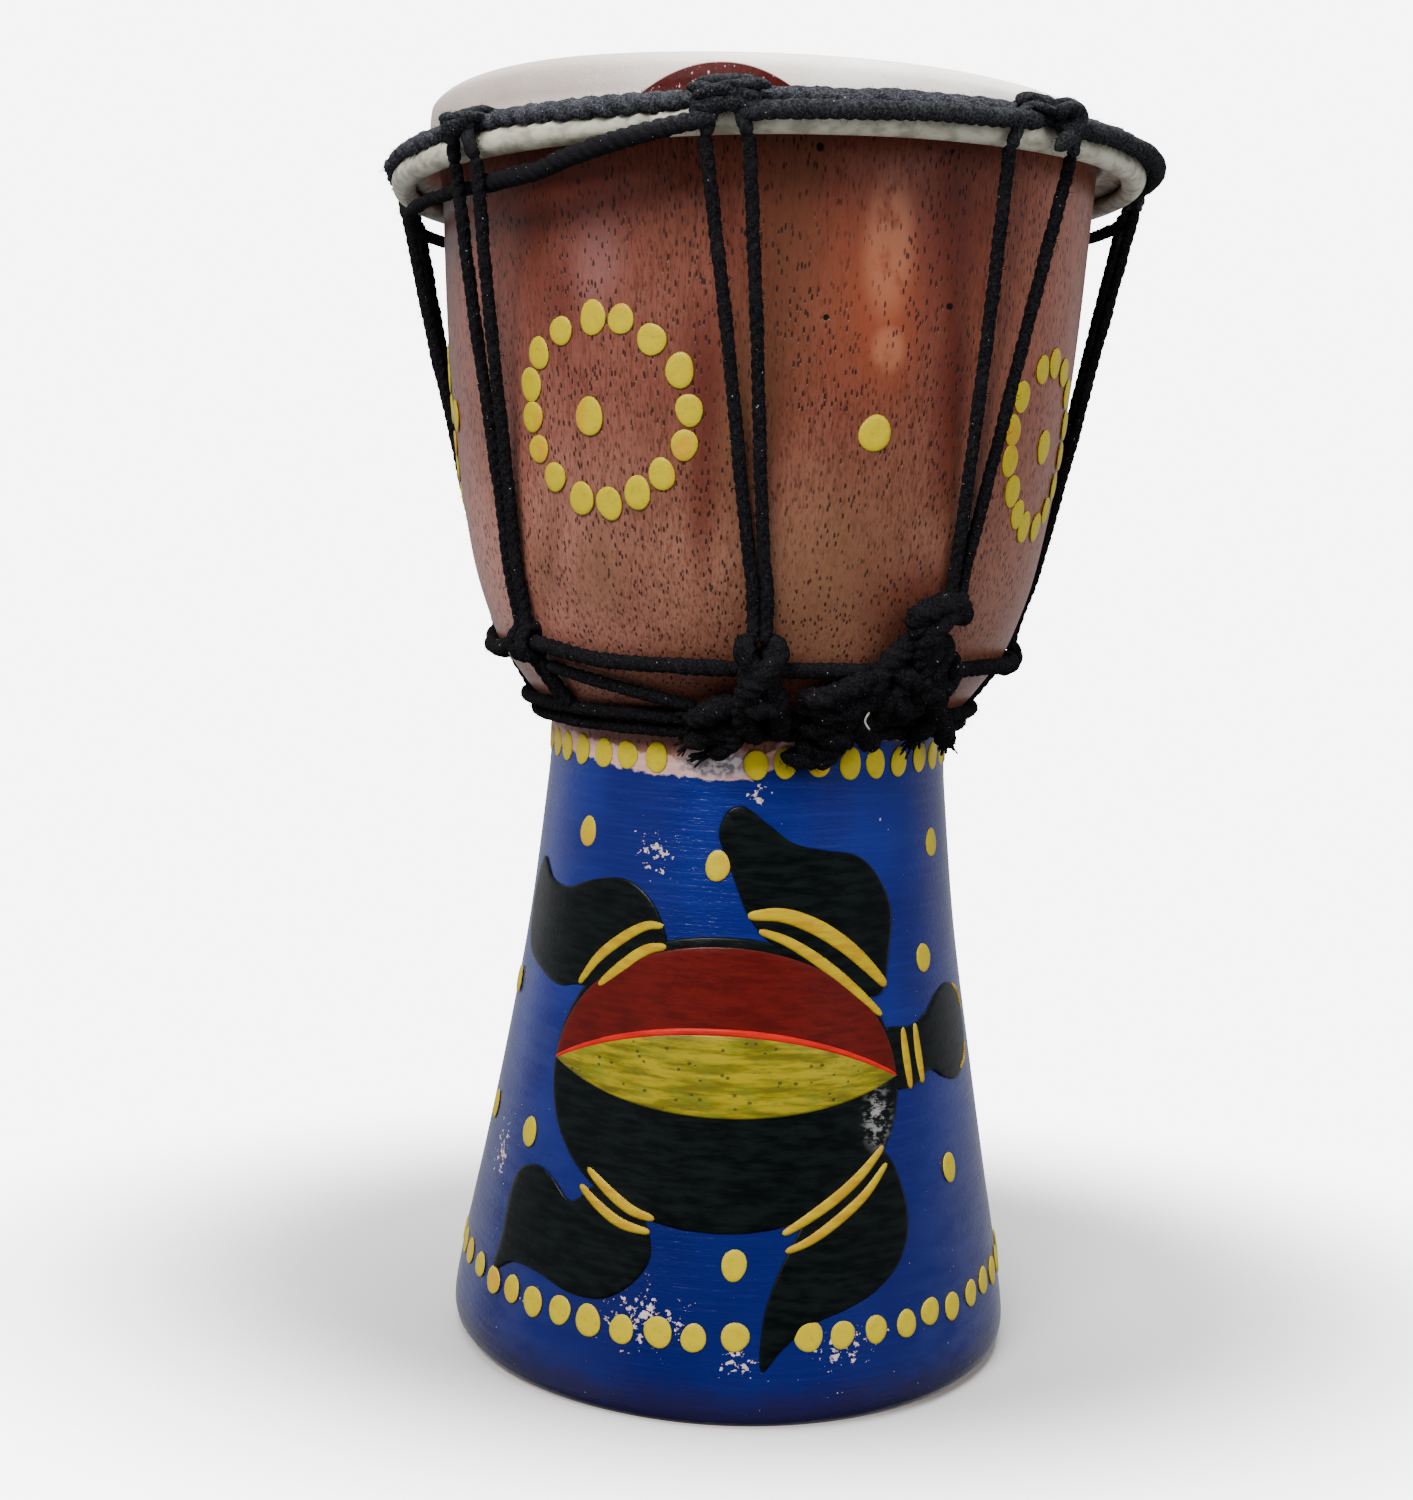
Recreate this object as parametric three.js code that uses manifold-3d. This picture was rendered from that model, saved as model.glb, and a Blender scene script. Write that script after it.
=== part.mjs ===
// A small rope-tuned goblet hand drum (djembe), standing on its foot.
// Millimetres, +Z up. The origin is the centre of the foot on the floor, and -Y is the front.
// Angles are in degrees round the drum from the front, positive towards +X.
import * as THREE from 'three';
import { mergeVertices } from 'three/addons/utils/BufferGeometryUtils.js';
import Module from 'manifold-3d';

const wasm = await Module();
wasm.setup();

// Driving dimensions
const HEIGHT = 200;             // floor to the top of the skin
const HOOP_DIAMETER = 120;      // over the skin that is lapped round the flesh hoop
const CORD_DIAMETER = 2;        // lacing cord
const WAIST_DIAMETER = 2.5;     // the same cord where it runs slack round the waist
const SPAN_DIAMETER = 2.7;      // and where it crosses the hoop at the front
const KNOT_STRAND = 2.8;        // the same cord again, loosened in the knots
const ROPE_DIAMETER = 3.5;      // crown rope that presses the hoop down
const SKIN_THICKNESS = 0.7;
const WIRE_DIAMETER = 1.9;      // flesh hoop
const GAP = 0.3;                // clearance between neighbouring pieces
const HOOP_LEAN = 0.033;        // rise of the hoop per millimetre towards +X, from uneven lacing

// Shell: outer radius at each height, read off as a smooth curve
const OUTER = [
  [4, 46.9], [14, 45.4], [30, 42.4], [50, 38.9], [70, 35.7], [90, 33.4], [101, 32.7],
  [104.5, 33.8], [109, 37.3], [114.5, 41.2], [120, 43.6], [128, 46.1], [143, 48.8],
  [160, 50.6], [180, 51.8], [195.5, 52.3],
];
const INNER = [
  [192, 46.6], [176, 45.6], [158, 44], [142, 41.2], [130, 36.6], [120, 28.6], [112, 19.5],
  [104, 17.5], [88, 17.5], [74, 20.5], [50, 26.5], [24, 33.5],
];
const EDGE_RADIUS = 3.4;        // rounding of the bearing edge under the skin
const FOOT_MOUTH_RADIUS = 38.5; // opening of the foot on the floor
const FOOT_EDGE_RADIUS = 3.4;   // rounding of the foot's lower edge

// Hoop, rope and lacing
const TUBE_RADIUS = 1.95;       // skin lapped round the flesh hoop, in section
const HOOP_RADIUS = HOOP_DIAMETER / 2 - TUBE_RADIUS;
const HOOP_HEIGHT = HEIGHT - 11.55;
const ROPE_RADIUS = HOOP_RADIUS - 0.2;
const ROPE_HEIGHT = HOOP_HEIGHT + TUBE_RADIUS + ROPE_DIAMETER / 2 + GAP;
const PRESS_HEIGHT = ROPE_HEIGHT - ROPE_DIAMETER / 2;
const PRESS_SHARE = 0.38;       // share of its height above that level that pressed cord loses
const HITCHES = [               // angle on the rope, half spread of the legs, angle of the wrap below
  { at: -101, spread: 2.6, wrap: -102 },
  { at: -44.5, spread: 2.3, wrap: -50.5 },
  { at: -5.2, spread: 2.8, wrap: 1.6 },
  { at: 38.6, spread: 5.8, wrap: 39.4 },
  { at: 97, spread: 3, wrap: 98 },
  { at: 145, spread: 3, wrap: 146 },
  { at: 194, spread: 3, wrap: 196 },
];
const LEFT = 1;                 // the hitch at the front left
const FRONT = 2;                // the hitch above the knot at the front
const SIDE = 3;                 // the hitch above the knot with the hanging tail
const HITCH_BIGHT = [           // millimetres along, out from and above the middle of the rope
  [-3.3, 2.3, 0.9], [-2.6, 4.1, -0.1], [0, 5, -0.7], [2.6, 4.1, -0.1], [3.3, 2.3, 0.9],
];
const HITCH_LUMPS = {
  1: [
    [[-2.8, 3, 1], [-1.6, 4.6, 0.4], [0.8, 5, -0.2], [2.6, 3.9, -1]],
    [[2.4, 3.4, 1.2], [1, 5, -1.6], [-0.8, 5.2, -2.6], [-0.4, 4.6, -4.6]],
  ],
  2: [
    [[-5.4, 2.8, 1.6], [-3.2, 3.9, 0.6], [0.2, 4.6, -0.6], [3, 4.2, -1.6], [4.4, 3.6, -2.6]],
    [[-4.4, 3.7, -1.6], [-2, 4.8, -0.6], [1.2, 4.6, 0.6], [4, 3.6, 1.2], [5.4, 2.9, 0.8]],
    [[-4.2, 1.8, 2.6], [-1.6, 3, 2.2], [1.4, 3.2, 2], [4.2, 1.6, 2.4]],
  ],
  3: [
    [[-4.4, 2.8, 0.6], [-3.4, 2.2, 2], [-1.6, 2.4, 2.3], [0, 3.2, 1.2], [-0.6, 4, -0.8]],
    [[0.6, 3.2, 1.6], [2.6, 4.4, 1.6], [4.4, 4.8, -0.4], [3.4, 4.8, -2.8], [1.2, 4.8, -3.2]],
    [[1.2, 5, -2.6], [0.6, 5.4, -0.6], [2.4, 5.6, 0.4], [3.8, 5, -1.6], [2.2, 5, -4.8], [0.4, 4.8, -6.6]],
  ],
};
const LEG_TOP = [60.6, 185.6];  // radius and height where a leg leaves its hitch
const LEG_TOUCH = 130;          // height where a leg first lies on the shell
const LEG_END = 119.2;          // height where it stops at the wrap
const FRONT_KNOT_RISE = 1.8;    // the two knots are taller than a wrap by this much
const SIDE_KNOT_RISE = 8.5;
const WAIST_HEIGHT = 114.3;     // upper ring of cord, under the bowl
const WAIST_PULL = 2;           // the left wrap draws the waist cord up this far
const NECK_CONTACT = [104.7, 107.1]; // heights where the two neck turns touch the shell

// Strands of the knots: millimetres along from the wrap at radius 46, radius, height
const FRONT_KNOT = [
  [[-2, 45.2, 119.4], [-2.2, 46.4, 116.8], [-0.2, 45.6, 113.8], [2.4, 43.4, 111.2],
    [4, 40.4, 107.6], [3.8, 36.8, 104]],
  [[2, 45.2, 119.4], [2.6, 46.4, 116.8], [1, 46.8, 114.2], [-1.4, 44.2, 111.4],
    [-2.4, 41.4, 108.4], [-1, 38.2, 105], [2.2, 36.2, 103.2]],
  [[-3.6, 40.8, 109.6], [-1, 43.2, 109], [1.8, 43.2, 108.8], [4.6, 41.6, 109.8]],
  [[-2.2, 41.2, 108.8], [-5.6, 40.8, 108.4], [-9, 40, 107.2], [-12.6, 38.6, 105.8]],
  [[-2.6, 38.8, 106], [-6.6, 37.2, 104.6], [-10.4, 36.4, 103.4], [-13.4, 35.2, 102.2]],
  [[-2.2, 38.6, 105.4], [-4.2, 36.6, 103], [-7, 35.2, 101.6], [-9.8, 34.8, 101]],
];
const SIDE_KNOT = [
  [[-2.2, 48.2, 125.8], [-4, 48.4, 124.6], [-6.2, 49.4, 123.4], [-8, 49, 121.6], [-7.4, 47.2, 119]],
  [[0.4, 48, 125.8], [-1.4, 49.2, 124.4], [-4.6, 50.6, 122.8], [-6.4, 49.8, 120.6],
    [-6.2, 47.6, 117.6], [-4.6, 45.6, 114.8]],
  [[2, 46.8, 122.2], [-3.4, 50.4, 124.2], [-6.6, 51, 124.4], [-8.2, 49.8, 123], [-8, 46.8, 121.2]],
  [[-3.8, 48.4, 120.4], [-2.4, 47.4, 117.4], [-3.2, 46.8, 114.6], [-0.6, 44.8, 111.8],
    [2, 42.2, 109], [5.4, 39.4, 106.2]],
  [[-7.2, 47.8, 120.4], [-8.8, 46.2, 117.8], [-10.4, 44.8, 115], [-11.6, 43.6, 112.2], [-11.8, 41.6, 109.2]],
  [[-5.4, 46.2, 116.4], [-6.8, 44.6, 113.6], [-8.4, 43, 110.6], [-8.8, 40.4, 107.6], [-8.6, 38, 105.2]],
  [[-4.6, 44.2, 112.6], [-3.2, 45.4, 111.6], [0.2, 45, 111.6], [3.6, 43.4, 112.8]],
  [[4, 40.6, 107.6], [10.4, 37.8, 104.6], [16.2, 36.4, 101.6]],
  [[3.4, 40.2, 107], [4.2, 37.8, 104.8], [4.4, 36, 103]],
];
// The bundle of turns that hangs between the knots, measured from the front wrap
const LASHING = [
  [[6.6, 40.8, 108.4], [9.8, 41.2, 109], [12.8, 42, 109.8], [15.4, 42.8, 111]],
  [[7.6, 38.6, 105.6], [10.8, 38.6, 105.6], [14.4, 39.4, 106.6], [17, 41, 108.4]],
  [[7.6, 36, 102.8], [11.2, 35.8, 101.8], [15.2, 35.8, 102.2], [19.4, 37.2, 104.8]],
  [[5.4, 35.2, 101], [9.4, 34.8, 100.2], [14, 34.8, 100.4], [17.8, 35, 101.8]],
  [[14.8, 43, 110.6], [15.8, 41.4, 108.2], [16.4, 38.8, 105.2], [15.6, 36, 102]],
];

const ROUND = 40;               // segments round the drum
const CORD_SIDES = 6;
const cordRadius = CORD_DIAMETER / 2;

// Places and profiles

function place(angle, radius, height) {
  const a = THREE.MathUtils.degToRad(angle);
  return new THREE.Vector3(radius * Math.sin(a), -radius * Math.cos(a), height);
}

// Smooth curve through [height, radius] stations: cubic pieces with averaged slopes
function radiusAt(stations, height) {
  const last = stations.length - 1;
  const rising = stations[last][0] > stations[0][0];
  let i = 0;
  while (i < last - 1 && (rising ? height > stations[i + 1][0] : height < stations[i + 1][0])) i++;
  const slope = (a, b) => (stations[b][1] - stations[a][1]) / (stations[b][0] - stations[a][0]);
  const [z0, r0] = stations[i];
  const [z1, r1] = stations[i + 1];
  const m0 = slope(Math.max(i - 1, 0), i + 1);
  const m1 = slope(i, Math.min(i + 2, last));
  const span = z1 - z0;
  const t = THREE.MathUtils.clamp((height - z0) / span, 0, 1);
  const cubic = (2 * t ** 3 - 3 * t ** 2 + 1) * r0 + (3 * t ** 2 - 2 * t ** 3) * r1;
  return cubic + span * ((t ** 3 - 2 * t ** 2 + t) * m0 + (t ** 3 - t ** 2) * m1);
}

function arcPoints(centre, radius, from, to, steps) {
  const points = [];
  for (let i = 0; i <= steps; i++) {
    const a = THREE.MathUtils.degToRad(from + (to - from) * i / steps);
    points.push(new THREE.Vector2(centre[0] + radius * Math.cos(a), centre[1] + radius * Math.sin(a)));
  }
  return points;
}

// Moves a section line sideways, to its left for a positive distance
function offsetLine(points, distance) {
  return points.map((point, i) => {
    const before = points[Math.max(i - 1, 0)];
    const after = points[Math.min(i + 1, points.length - 1)];
    const along = new THREE.Vector2().subVectors(after, before).normalize();
    return new THREE.Vector2(point.x - along.y * distance, point.y + along.x * distance);
  });
}

// The hoop hangs lower on one side, and everything carried by it leans with it
function leanWithHoop(geometry) {
  const position = geometry.attributes.position;
  for (let i = 0; i < position.count; i++) {
    const x = position.getX(i);
    const radius = Math.hypot(x, position.getY(i));
    const share = THREE.MathUtils.clamp((radius - 52.6) / 2.6, 0, 1);
    position.setZ(i, position.getZ(i) + HOOP_LEAN * x * share);
  }
  geometry.computeVertexNormals();
  return geometry;
}

// Cord on top of the hoop is pulled down tight, which flattens it
function pressDown(geometry) {
  const position = geometry.attributes.position;
  for (let i = 0; i < position.count; i++) {
    const above = Math.max(position.getZ(i) - PRESS_HEIGHT, 0);
    position.setZ(i, position.getZ(i) - above * PRESS_SHARE);
  }
  return geometry;
}

// Solids

function turned(profile) {
  const geometry = new THREE.LatheGeometry(profile, ROUND);
  geometry.rotateX(Math.PI / 2);
  return geometry;
}

// A closed ring of cord whose radius and height may change with the angle
function ring(radius, height, thickness, sides) {
  const geometry = new THREE.TorusGeometry(60, thickness / 2, sides, ROUND);
  const position = geometry.attributes.position;
  const radiusOf = typeof radius === 'function' ? radius : () => radius;
  const heightOf = typeof height === 'function' ? height : () => height;
  for (let i = 0; i < position.count; i++) {
    const x = position.getX(i);
    const y = position.getY(i);
    const angle = THREE.MathUtils.radToDeg(Math.atan2(x, -y));
    const r = radiusOf(angle) + Math.hypot(x, y) - 60;
    const spot = place(angle, r, heightOf(angle) + position.getZ(i));
    position.setXYZ(i, spot.x, spot.y, spot.z);
  }
  return geometry;
}

function roundSection(radius, sides) {
  const corners = [];
  for (let i = 0; i < sides; i++) {
    const a = 2 * Math.PI * i / sides;
    corners.push(new THREE.Vector2(radius * Math.cos(a), radius * Math.sin(a)));
  }
  return new THREE.Shape(corners);
}

function cord(points, steps, thickness = CORD_DIAMETER) {
  const extrudePath = new THREE.CatmullRomCurve3(points, false, 'centripetal');
  const section = roundSection(thickness / 2, CORD_SIDES);
  return new THREE.ExtrudeGeometry(section, { steps, extrudePath, bevelEnabled: false });
}

function toManifold(geometry) {
  const bare = geometry.clone();
  bare.deleteAttribute('normal');
  bare.deleteAttribute('uv');
  const merged = mergeVertices(bare, 1e-4);
  const vertProperties = new Float32Array(merged.attributes.position.array);
  const triVerts = new Uint32Array(merged.index.array);
  return new wasm.Manifold(new wasm.Mesh({ numProp: 3, vertProperties, triVerts }));
}

function fromManifold(solid) {
  const mesh = solid.getMesh();
  const geometry = new THREE.BufferGeometry();
  geometry.setAttribute('position', new THREE.BufferAttribute(mesh.vertProperties.slice(), 3));
  geometry.setIndex(new THREE.BufferAttribute(mesh.triVerts.slice(), 1));
  geometry.computeVertexNormals();
  return geometry;
}

// Joins the strands of a knot and cuts away what its neighbours take up
function knot(strands, neighbours) {
  let solid = toManifold(strands[0]);
  for (const strand of strands.slice(1)) solid = solid.add(toManifold(strand));
  for (const neighbour of neighbours) solid = solid.subtract(neighbour);
  return fromManifold(solid);
}

const drum = new THREE.Group();

function addPiece(name, geometry, material) {
  const mesh = new THREE.Mesh(leanWithHoop(geometry), material);
  mesh.name = name;
  drum.add(mesh);
}

const wood = new THREE.MeshStandardMaterial({ color: 0x8a4a34, roughness: 0.45, metalness: 0 });
const skin = new THREE.MeshStandardMaterial({ color: 0xd9cfc6, roughness: 0.6, metalness: 0 });
const wire = new THREE.MeshStandardMaterial({ color: 0x9a9a94, roughness: 0.4, metalness: 1 });
const cotton = new THREE.MeshStandardMaterial({ color: 0x16191c, roughness: 0.95, metalness: 0 });

// Wooden shell: foot, neck and bowl turned from one piece, hollow from end to end

// Points along a profile, closer together where it bends
function sampled(stations, tolerance) {
  const at = (height) => new THREE.Vector2(radiusAt(stations, height), height);
  const points = [at(stations[0][0])];
  const follow = (from, to) => {
    const middle = (from + to) / 2;
    const chord = (at(from).x + at(to).x) / 2;
    if (Math.abs(at(middle).x - chord) > tolerance) {
      follow(from, middle);
      follow(middle, to);
    } else {
      points.push(at(to));
    }
  };
  for (let i = 1; i < stations.length; i++) follow(stations[i - 1][0], stations[i][0]);
  return points;
}

const edgeCentre = [OUTER[OUTER.length - 1][1] - EDGE_RADIUS, HEIGHT - SKIN_THICKNESS - GAP - EDGE_RADIUS];
const footCentre = [OUTER[0][1] - FOOT_EDGE_RADIUS, FOOT_EDGE_RADIUS];

function buildShell() {
  const outside = sampled(OUTER, 0.13).slice(1);
  const profile = [
    new THREE.Vector2(FOOT_MOUTH_RADIUS, 0),
    ...arcPoints(footCentre, FOOT_EDGE_RADIUS, -90, 0, 3),
    ...outside,
    ...arcPoints(edgeCentre, EDGE_RADIUS, 0, 90, 3).slice(1),
    ...sampled(INNER, 0.6),
    new THREE.Vector2(FOOT_MOUTH_RADIUS, 0),
  ];
  addPiece('shell', turned(profile), wood);
}

// Drumhead: flat over the bearing edge, down the collar and lapped round the flesh hoop

const headCorner = [edgeCentre[0], edgeCentre[1]];
const headBend = EDGE_RADIUS + GAP + SKIN_THICKNESS / 2;
const collar = [                // from below the bend to the start of the lap, at the middle of the skin
  new THREE.Vector2(53.05, HEIGHT - 6.3),
  new THREE.Vector2(53.6, HEIGHT - 7.9),
  new THREE.Vector2(54.9, HEIGHT - 9),
];
const lapRadius = TUBE_RADIUS - SKIN_THICKNESS / 2;

function skinLine(lapEnd) {
  return [
    new THREE.Vector2(0, HEIGHT - SKIN_THICKNESS / 2),
    ...arcPoints(headCorner, headBend, 90, 0, 3),
    ...collar,
    ...arcPoints([HOOP_RADIUS, HOOP_HEIGHT], lapRadius, 125, lapEnd, 7),
  ];
}

function buildSkin() {
  const line = skinLine(-170);
  const face = offsetLine(line, SKIN_THICKNESS / 2);
  const back = offsetLine(line, -SKIN_THICKNESS / 2);
  addPiece('drumhead_skin', turned([...back, ...face.reverse()]), skin);
}

function skinKeepOut() {
  const face = offsetLine(skinLine(-90), SKIN_THICKNESS / 2 + GAP);
  return toManifold(turned([new THREE.Vector2(0, HOOP_HEIGHT - 2.5), ...face.reverse()]));
}

function ropeRing(thickness) {
  return pressDown(ring(ROPE_RADIUS, ROPE_HEIGHT, thickness, 8));
}

function buildHoopAndRope() {
  addPiece('flesh_hoop', ring(HOOP_RADIUS, HOOP_HEIGHT, WIRE_DIAMETER, CORD_SIDES), wire);
  addPiece('crown_rope', ropeRing(ROPE_DIAMETER), cotton);
}

// Hitches: two strands over the crown rope with the bight pulled across their front

function buildHitches() {
  const neighbours = [skinKeepOut(), toManifold(ropeRing(ROPE_DIAMETER + 3 * GAP))];
  HITCHES.forEach((hitch, i) => {
    const degree = HOOP_RADIUS * Math.PI / 180;
    const side = (cordRadius + 0.05) / degree;
    const strand = (sign) => {
      const at = (share, radius, height) => place(
        hitch.at + sign * THREE.MathUtils.lerp(side, hitch.spread, share), radius, height);
      return cord([
        at(0, ROPE_RADIUS - 2.8, ROPE_HEIGHT - 1),
        at(0, ROPE_RADIUS - 2.9, ROPE_HEIGHT + 0.9),
        at(0, ROPE_RADIUS - 1.8, ROPE_HEIGHT + 2.5),
        at(0, ROPE_RADIUS + 0.2, ROPE_HEIGHT + 3.1),
        at(0, ROPE_RADIUS + 2.2, ROPE_HEIGHT + 2.2),
        at(i === SIDE ? 0.5 : 0.05, ROPE_RADIUS + 3.2, ROPE_HEIGHT + 0.1),
        at(i === SIDE ? 0.85 : 0.4, HOOP_RADIUS + 3.4, HOOP_HEIGHT + 0.6),
        at(1, LEG_TOP[0], LEG_TOP[1] + 0.9),
      ], 8);
    };
    const across = (spots, thickness) => cord(spots.map(([along, out, up]) => place(
      hitch.at + along / degree, ROPE_RADIUS + out, ROPE_HEIGHT + up)), spots.length + 1, thickness);
    const extra = (HITCH_LUMPS[i] ?? []).map((spots) => across(spots, KNOT_STRAND));
    const strands = [strand(-1), strand(1), across(HITCH_BIGHT, CORD_DIAMETER), ...extra];
    addPiece(`hitch_${i + 1}`, knot(strands.map(pressDown), neighbours), cotton);
  });
}

// Spans of lacing from each hitch to the next. Most hang just under the hoop. The one before the
// front hitch climbs across the hoop, and the two after it lie in the groove above.

function spanPath(i) {
  if (i === LEFT) return [[57.4, 183], [58.7, 183.5], [60.95, 185.95], [61.65, 188.2]];
  if (i === FRONT) return [[61.75, 188.8], [61.75, 189], [61.7, 189.3], [61.65, 189.6]];
  const [radius, height] = i === SIDE ? [61.65, 189.6] : [57.2, 183.1];
  return [0, 1, 2, 3].map(() => [radius, height]);
}

function buildHoopSpans() {
  HITCHES.forEach((hitch, i) => {
    const next = HITCHES[(i + 1) % HITCHES.length];
    const crossing = i === LEFT || i === FRONT || i === SIDE;
    const from = hitch.at + (i === FRONT || i === SIDE ? 7.6 : 1.4);
    const to = (next.at < hitch.at ? next.at + 360 : next.at) - (crossing ? 6.7 : 1.4);
    const thickness = crossing ? SPAN_DIAMETER : CORD_DIAMETER;
    const path = new THREE.CatmullRomCurve3(spanPath(i).map(([r, z]) => new THREE.Vector3(r, z, 0)));
    const count = Math.ceil((to - from) / 7);
    const points = [];
    for (let k = 0; k <= count; k++) {
      const spot = path.getPoint(k / count);
      points.push(place(from + (to - from) * k / count, spot.x, spot.y));
    }
    addPiece(`hoop_span_${i + 1}`, cord(points, count + 1, thickness), cotton);
  });
}

// Tension cords: a pair of legs from each hitch, closing on each other at the waist

function lieOn(height, lift) {
  const step = 0.5;
  const rise = radiusAt(OUTER, height + step) - radiusAt(OUTER, height - step);
  const normal = new THREE.Vector2(2 * step, -rise).normalize();
  return [radiusAt(OUTER, height) + normal.x * lift, height + normal.y * lift];
}

const waistHeight = (angle) => WAIST_HEIGHT
  + WAIST_PULL * Math.exp(-(((angle - HITCHES[LEFT].wrap) / 13) ** 2));
const legRise = (i) => ({ [FRONT]: FRONT_KNOT_RISE, [SIDE]: SIDE_KNOT_RISE }[i]
  ?? waistHeight(HITCHES[i].wrap) - WAIST_HEIGHT);

// Radius of a cord centre that is this high and this far off the shell
function radiusBeside(height, lift) {
  let contact = height;
  for (let i = 0; i < 5; i++) contact -= lieOn(contact, lift)[1] - height;
  return lieOn(contact, lift)[0];
}

const restLift = cordRadius + GAP + 0.05;

function buildTensionCords() {
  HITCHES.forEach((hitch, i) => {
    for (const sign of [-1, 1]) {
      const closeSpread = (cordRadius + 0.2) / (radiusAt(OUTER, LEG_TOUCH) * Math.PI / 180);
      const touch = lieOn(LEG_TOUCH, restLift + 0.2);
      const low = lieOn(LEG_TOUCH - 1.5, restLift + 0.1);
      const end = lieOn(LEG_END + legRise(i), restLift + 0.1);
      const meet = (share) => THREE.MathUtils.lerp(hitch.at, hitch.wrap, share);
      const points = [place(hitch.at + sign * hitch.spread, ...LEG_TOP)];
      for (const share of [0.3, 0.6, 0.85]) {
        const spread = THREE.MathUtils.lerp(hitch.spread, closeSpread, share);
        const radius = THREE.MathUtils.lerp(LEG_TOP[0], touch[0], share);
        const height = THREE.MathUtils.lerp(LEG_TOP[1], touch[1], share);
        points.push(place(meet(share * 0.8) + sign * spread, radius, height));
      }
      points.push(place(meet(0.85) + sign * closeSpread, ...touch));
      points.push(place(meet(0.93) + sign * closeSpread, ...low));
      points.push(place(meet(1) + sign * closeSpread * 1.08, ...end));
      addPiece(`tension_cord_${i + 1}${sign < 0 ? 'a' : 'b'}`, cord(points, 9), cotton);
    }
  });
}

// Waist cord and the turns wound round the neck

const waistLift = WAIST_DIAMETER / 2 + GAP + 0.05;
const waistRadius = (angle) => radiusBeside(waistHeight(angle), waistLift);
const neckTurns = NECK_CONTACT.map((height) => lieOn(height, restLift));

// Each ring is made at its own thickness, with some room added for the space round it
const cordRings = {
  waist_cord: (room) => ring(waistRadius, waistHeight, WAIST_DIAMETER + room, CORD_SIDES),
  neck_turn_lower: (room) => ring(...neckTurns[0], CORD_DIAMETER + room, CORD_SIDES),
  neck_turn_upper: (room) => ring(...neckTurns[1], CORD_DIAMETER + room, CORD_SIDES),
};

function buildCordRings() {
  for (const [name, make] of Object.entries(cordRings)) addPiece(name, make(0), cotton);
}

// Wraps: two coils round the waist cord hold the foot of each pair of legs, and run down to the neck turns

function shellKeepOut() {
  const outside = sampled(OUTER, 0.13).map((point) => new THREE.Vector2(point.x + GAP, point.y));
  const closed = [new THREE.Vector2(0, outside[0].y), ...outside];
  closed.push(new THREE.Vector2(0, outside[outside.length - 1].y));
  return toManifold(turned(closed));
}

const roomRound = (WAIST_DIAMETER + 2 * GAP) / Math.cos(Math.PI / CORD_SIDES) - WAIST_DIAMETER;
const ringsKeepOut = Object.values(cordRings).map((make) => toManifold(make(roomRound)));
const bowlKeepOut = shellKeepOut();

function coil(angle, tiltedBy, thickness = CORD_DIAMETER) {
  const centre = place(angle, waistRadius(angle), waistHeight(angle));
  const reach = (WAIST_DIAMETER + thickness) / 2 + GAP + 0.05;
  const geometry = new THREE.TorusGeometry(reach, thickness / 2, CORD_SIDES, 12);
  geometry.rotateX(Math.PI / 2);
  geometry.rotateZ(THREE.MathUtils.degToRad(angle - 90 + tiltedBy));
  geometry.translate(centre.x, centre.y, centre.z);
  return geometry;
}

function buildWaistWraps() {
  HITCHES.forEach((hitch, i) => {
    if (i === FRONT || i === SIDE) return;
    const top = waistHeight(hitch.wrap) - 1.5;
    const tail = cord(shellLine(hitch.wrap, hitch.wrap + 2, top, 108.9), 4);
    const coils = [coil(hitch.wrap - 1.5, -4), coil(hitch.wrap + 1.5, 4)];
    addPiece(`waist_wrap_${i + 1}`, knot([tail, ...coils], [bowlKeepOut, ...ringsKeepOut]), cotton);
  });
}

function shellLine(fromAngle, toAngle, fromHeight, toHeight) {
  const points = [];
  for (let k = 0; k <= 4; k++) {
    const height = THREE.MathUtils.lerp(fromHeight, toHeight, k / 4);
    const angle = THREE.MathUtils.lerp(fromAngle, toAngle, k / 4);
    points.push(place(angle, ...lieOn(height, restLift)));
  }
  return points;
}

// The free run of the lacing slants from the left wrap down to the neck turns
function buildSlantCord() {
  const slant = shellLine(HITCHES[FRONT - 1].wrap + 4.4, HITCHES[FRONT].wrap - 15.5, 113, 109.2);
  addPiece('slant_cord', cord(slant, 6), cotton);
}

// Knots: the ends of the lacing are tied off over the wraps at the front and to its right

function looseStrand(at, spots, thickness = KNOT_STRAND) {
  const degree = 46 * Math.PI / 180;
  const points = spots.map(([along, radius, height]) => place(at + along / degree, radius, height));
  return cord(points, Math.round(spots.length * 1.6), thickness);
}

function knotStrands(i, spots, thickness) {
  const at = HITCHES[i].wrap;
  const strands = spots.map((line) => looseStrand(at, line, thickness));
  return [...strands, coil(at - 2, -5, thickness), coil(at + 2, 5, thickness)];
}

function buildKnots() {
  const neighbours = [bowlKeepOut, ...ringsKeepOut];
  addPiece('front_knot', knot(knotStrands(FRONT, FRONT_KNOT, KNOT_STRAND), neighbours), cotton);
  addPiece('side_knot', knot(knotStrands(SIDE, SIDE_KNOT, KNOT_STRAND), neighbours), cotton);
}

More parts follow.
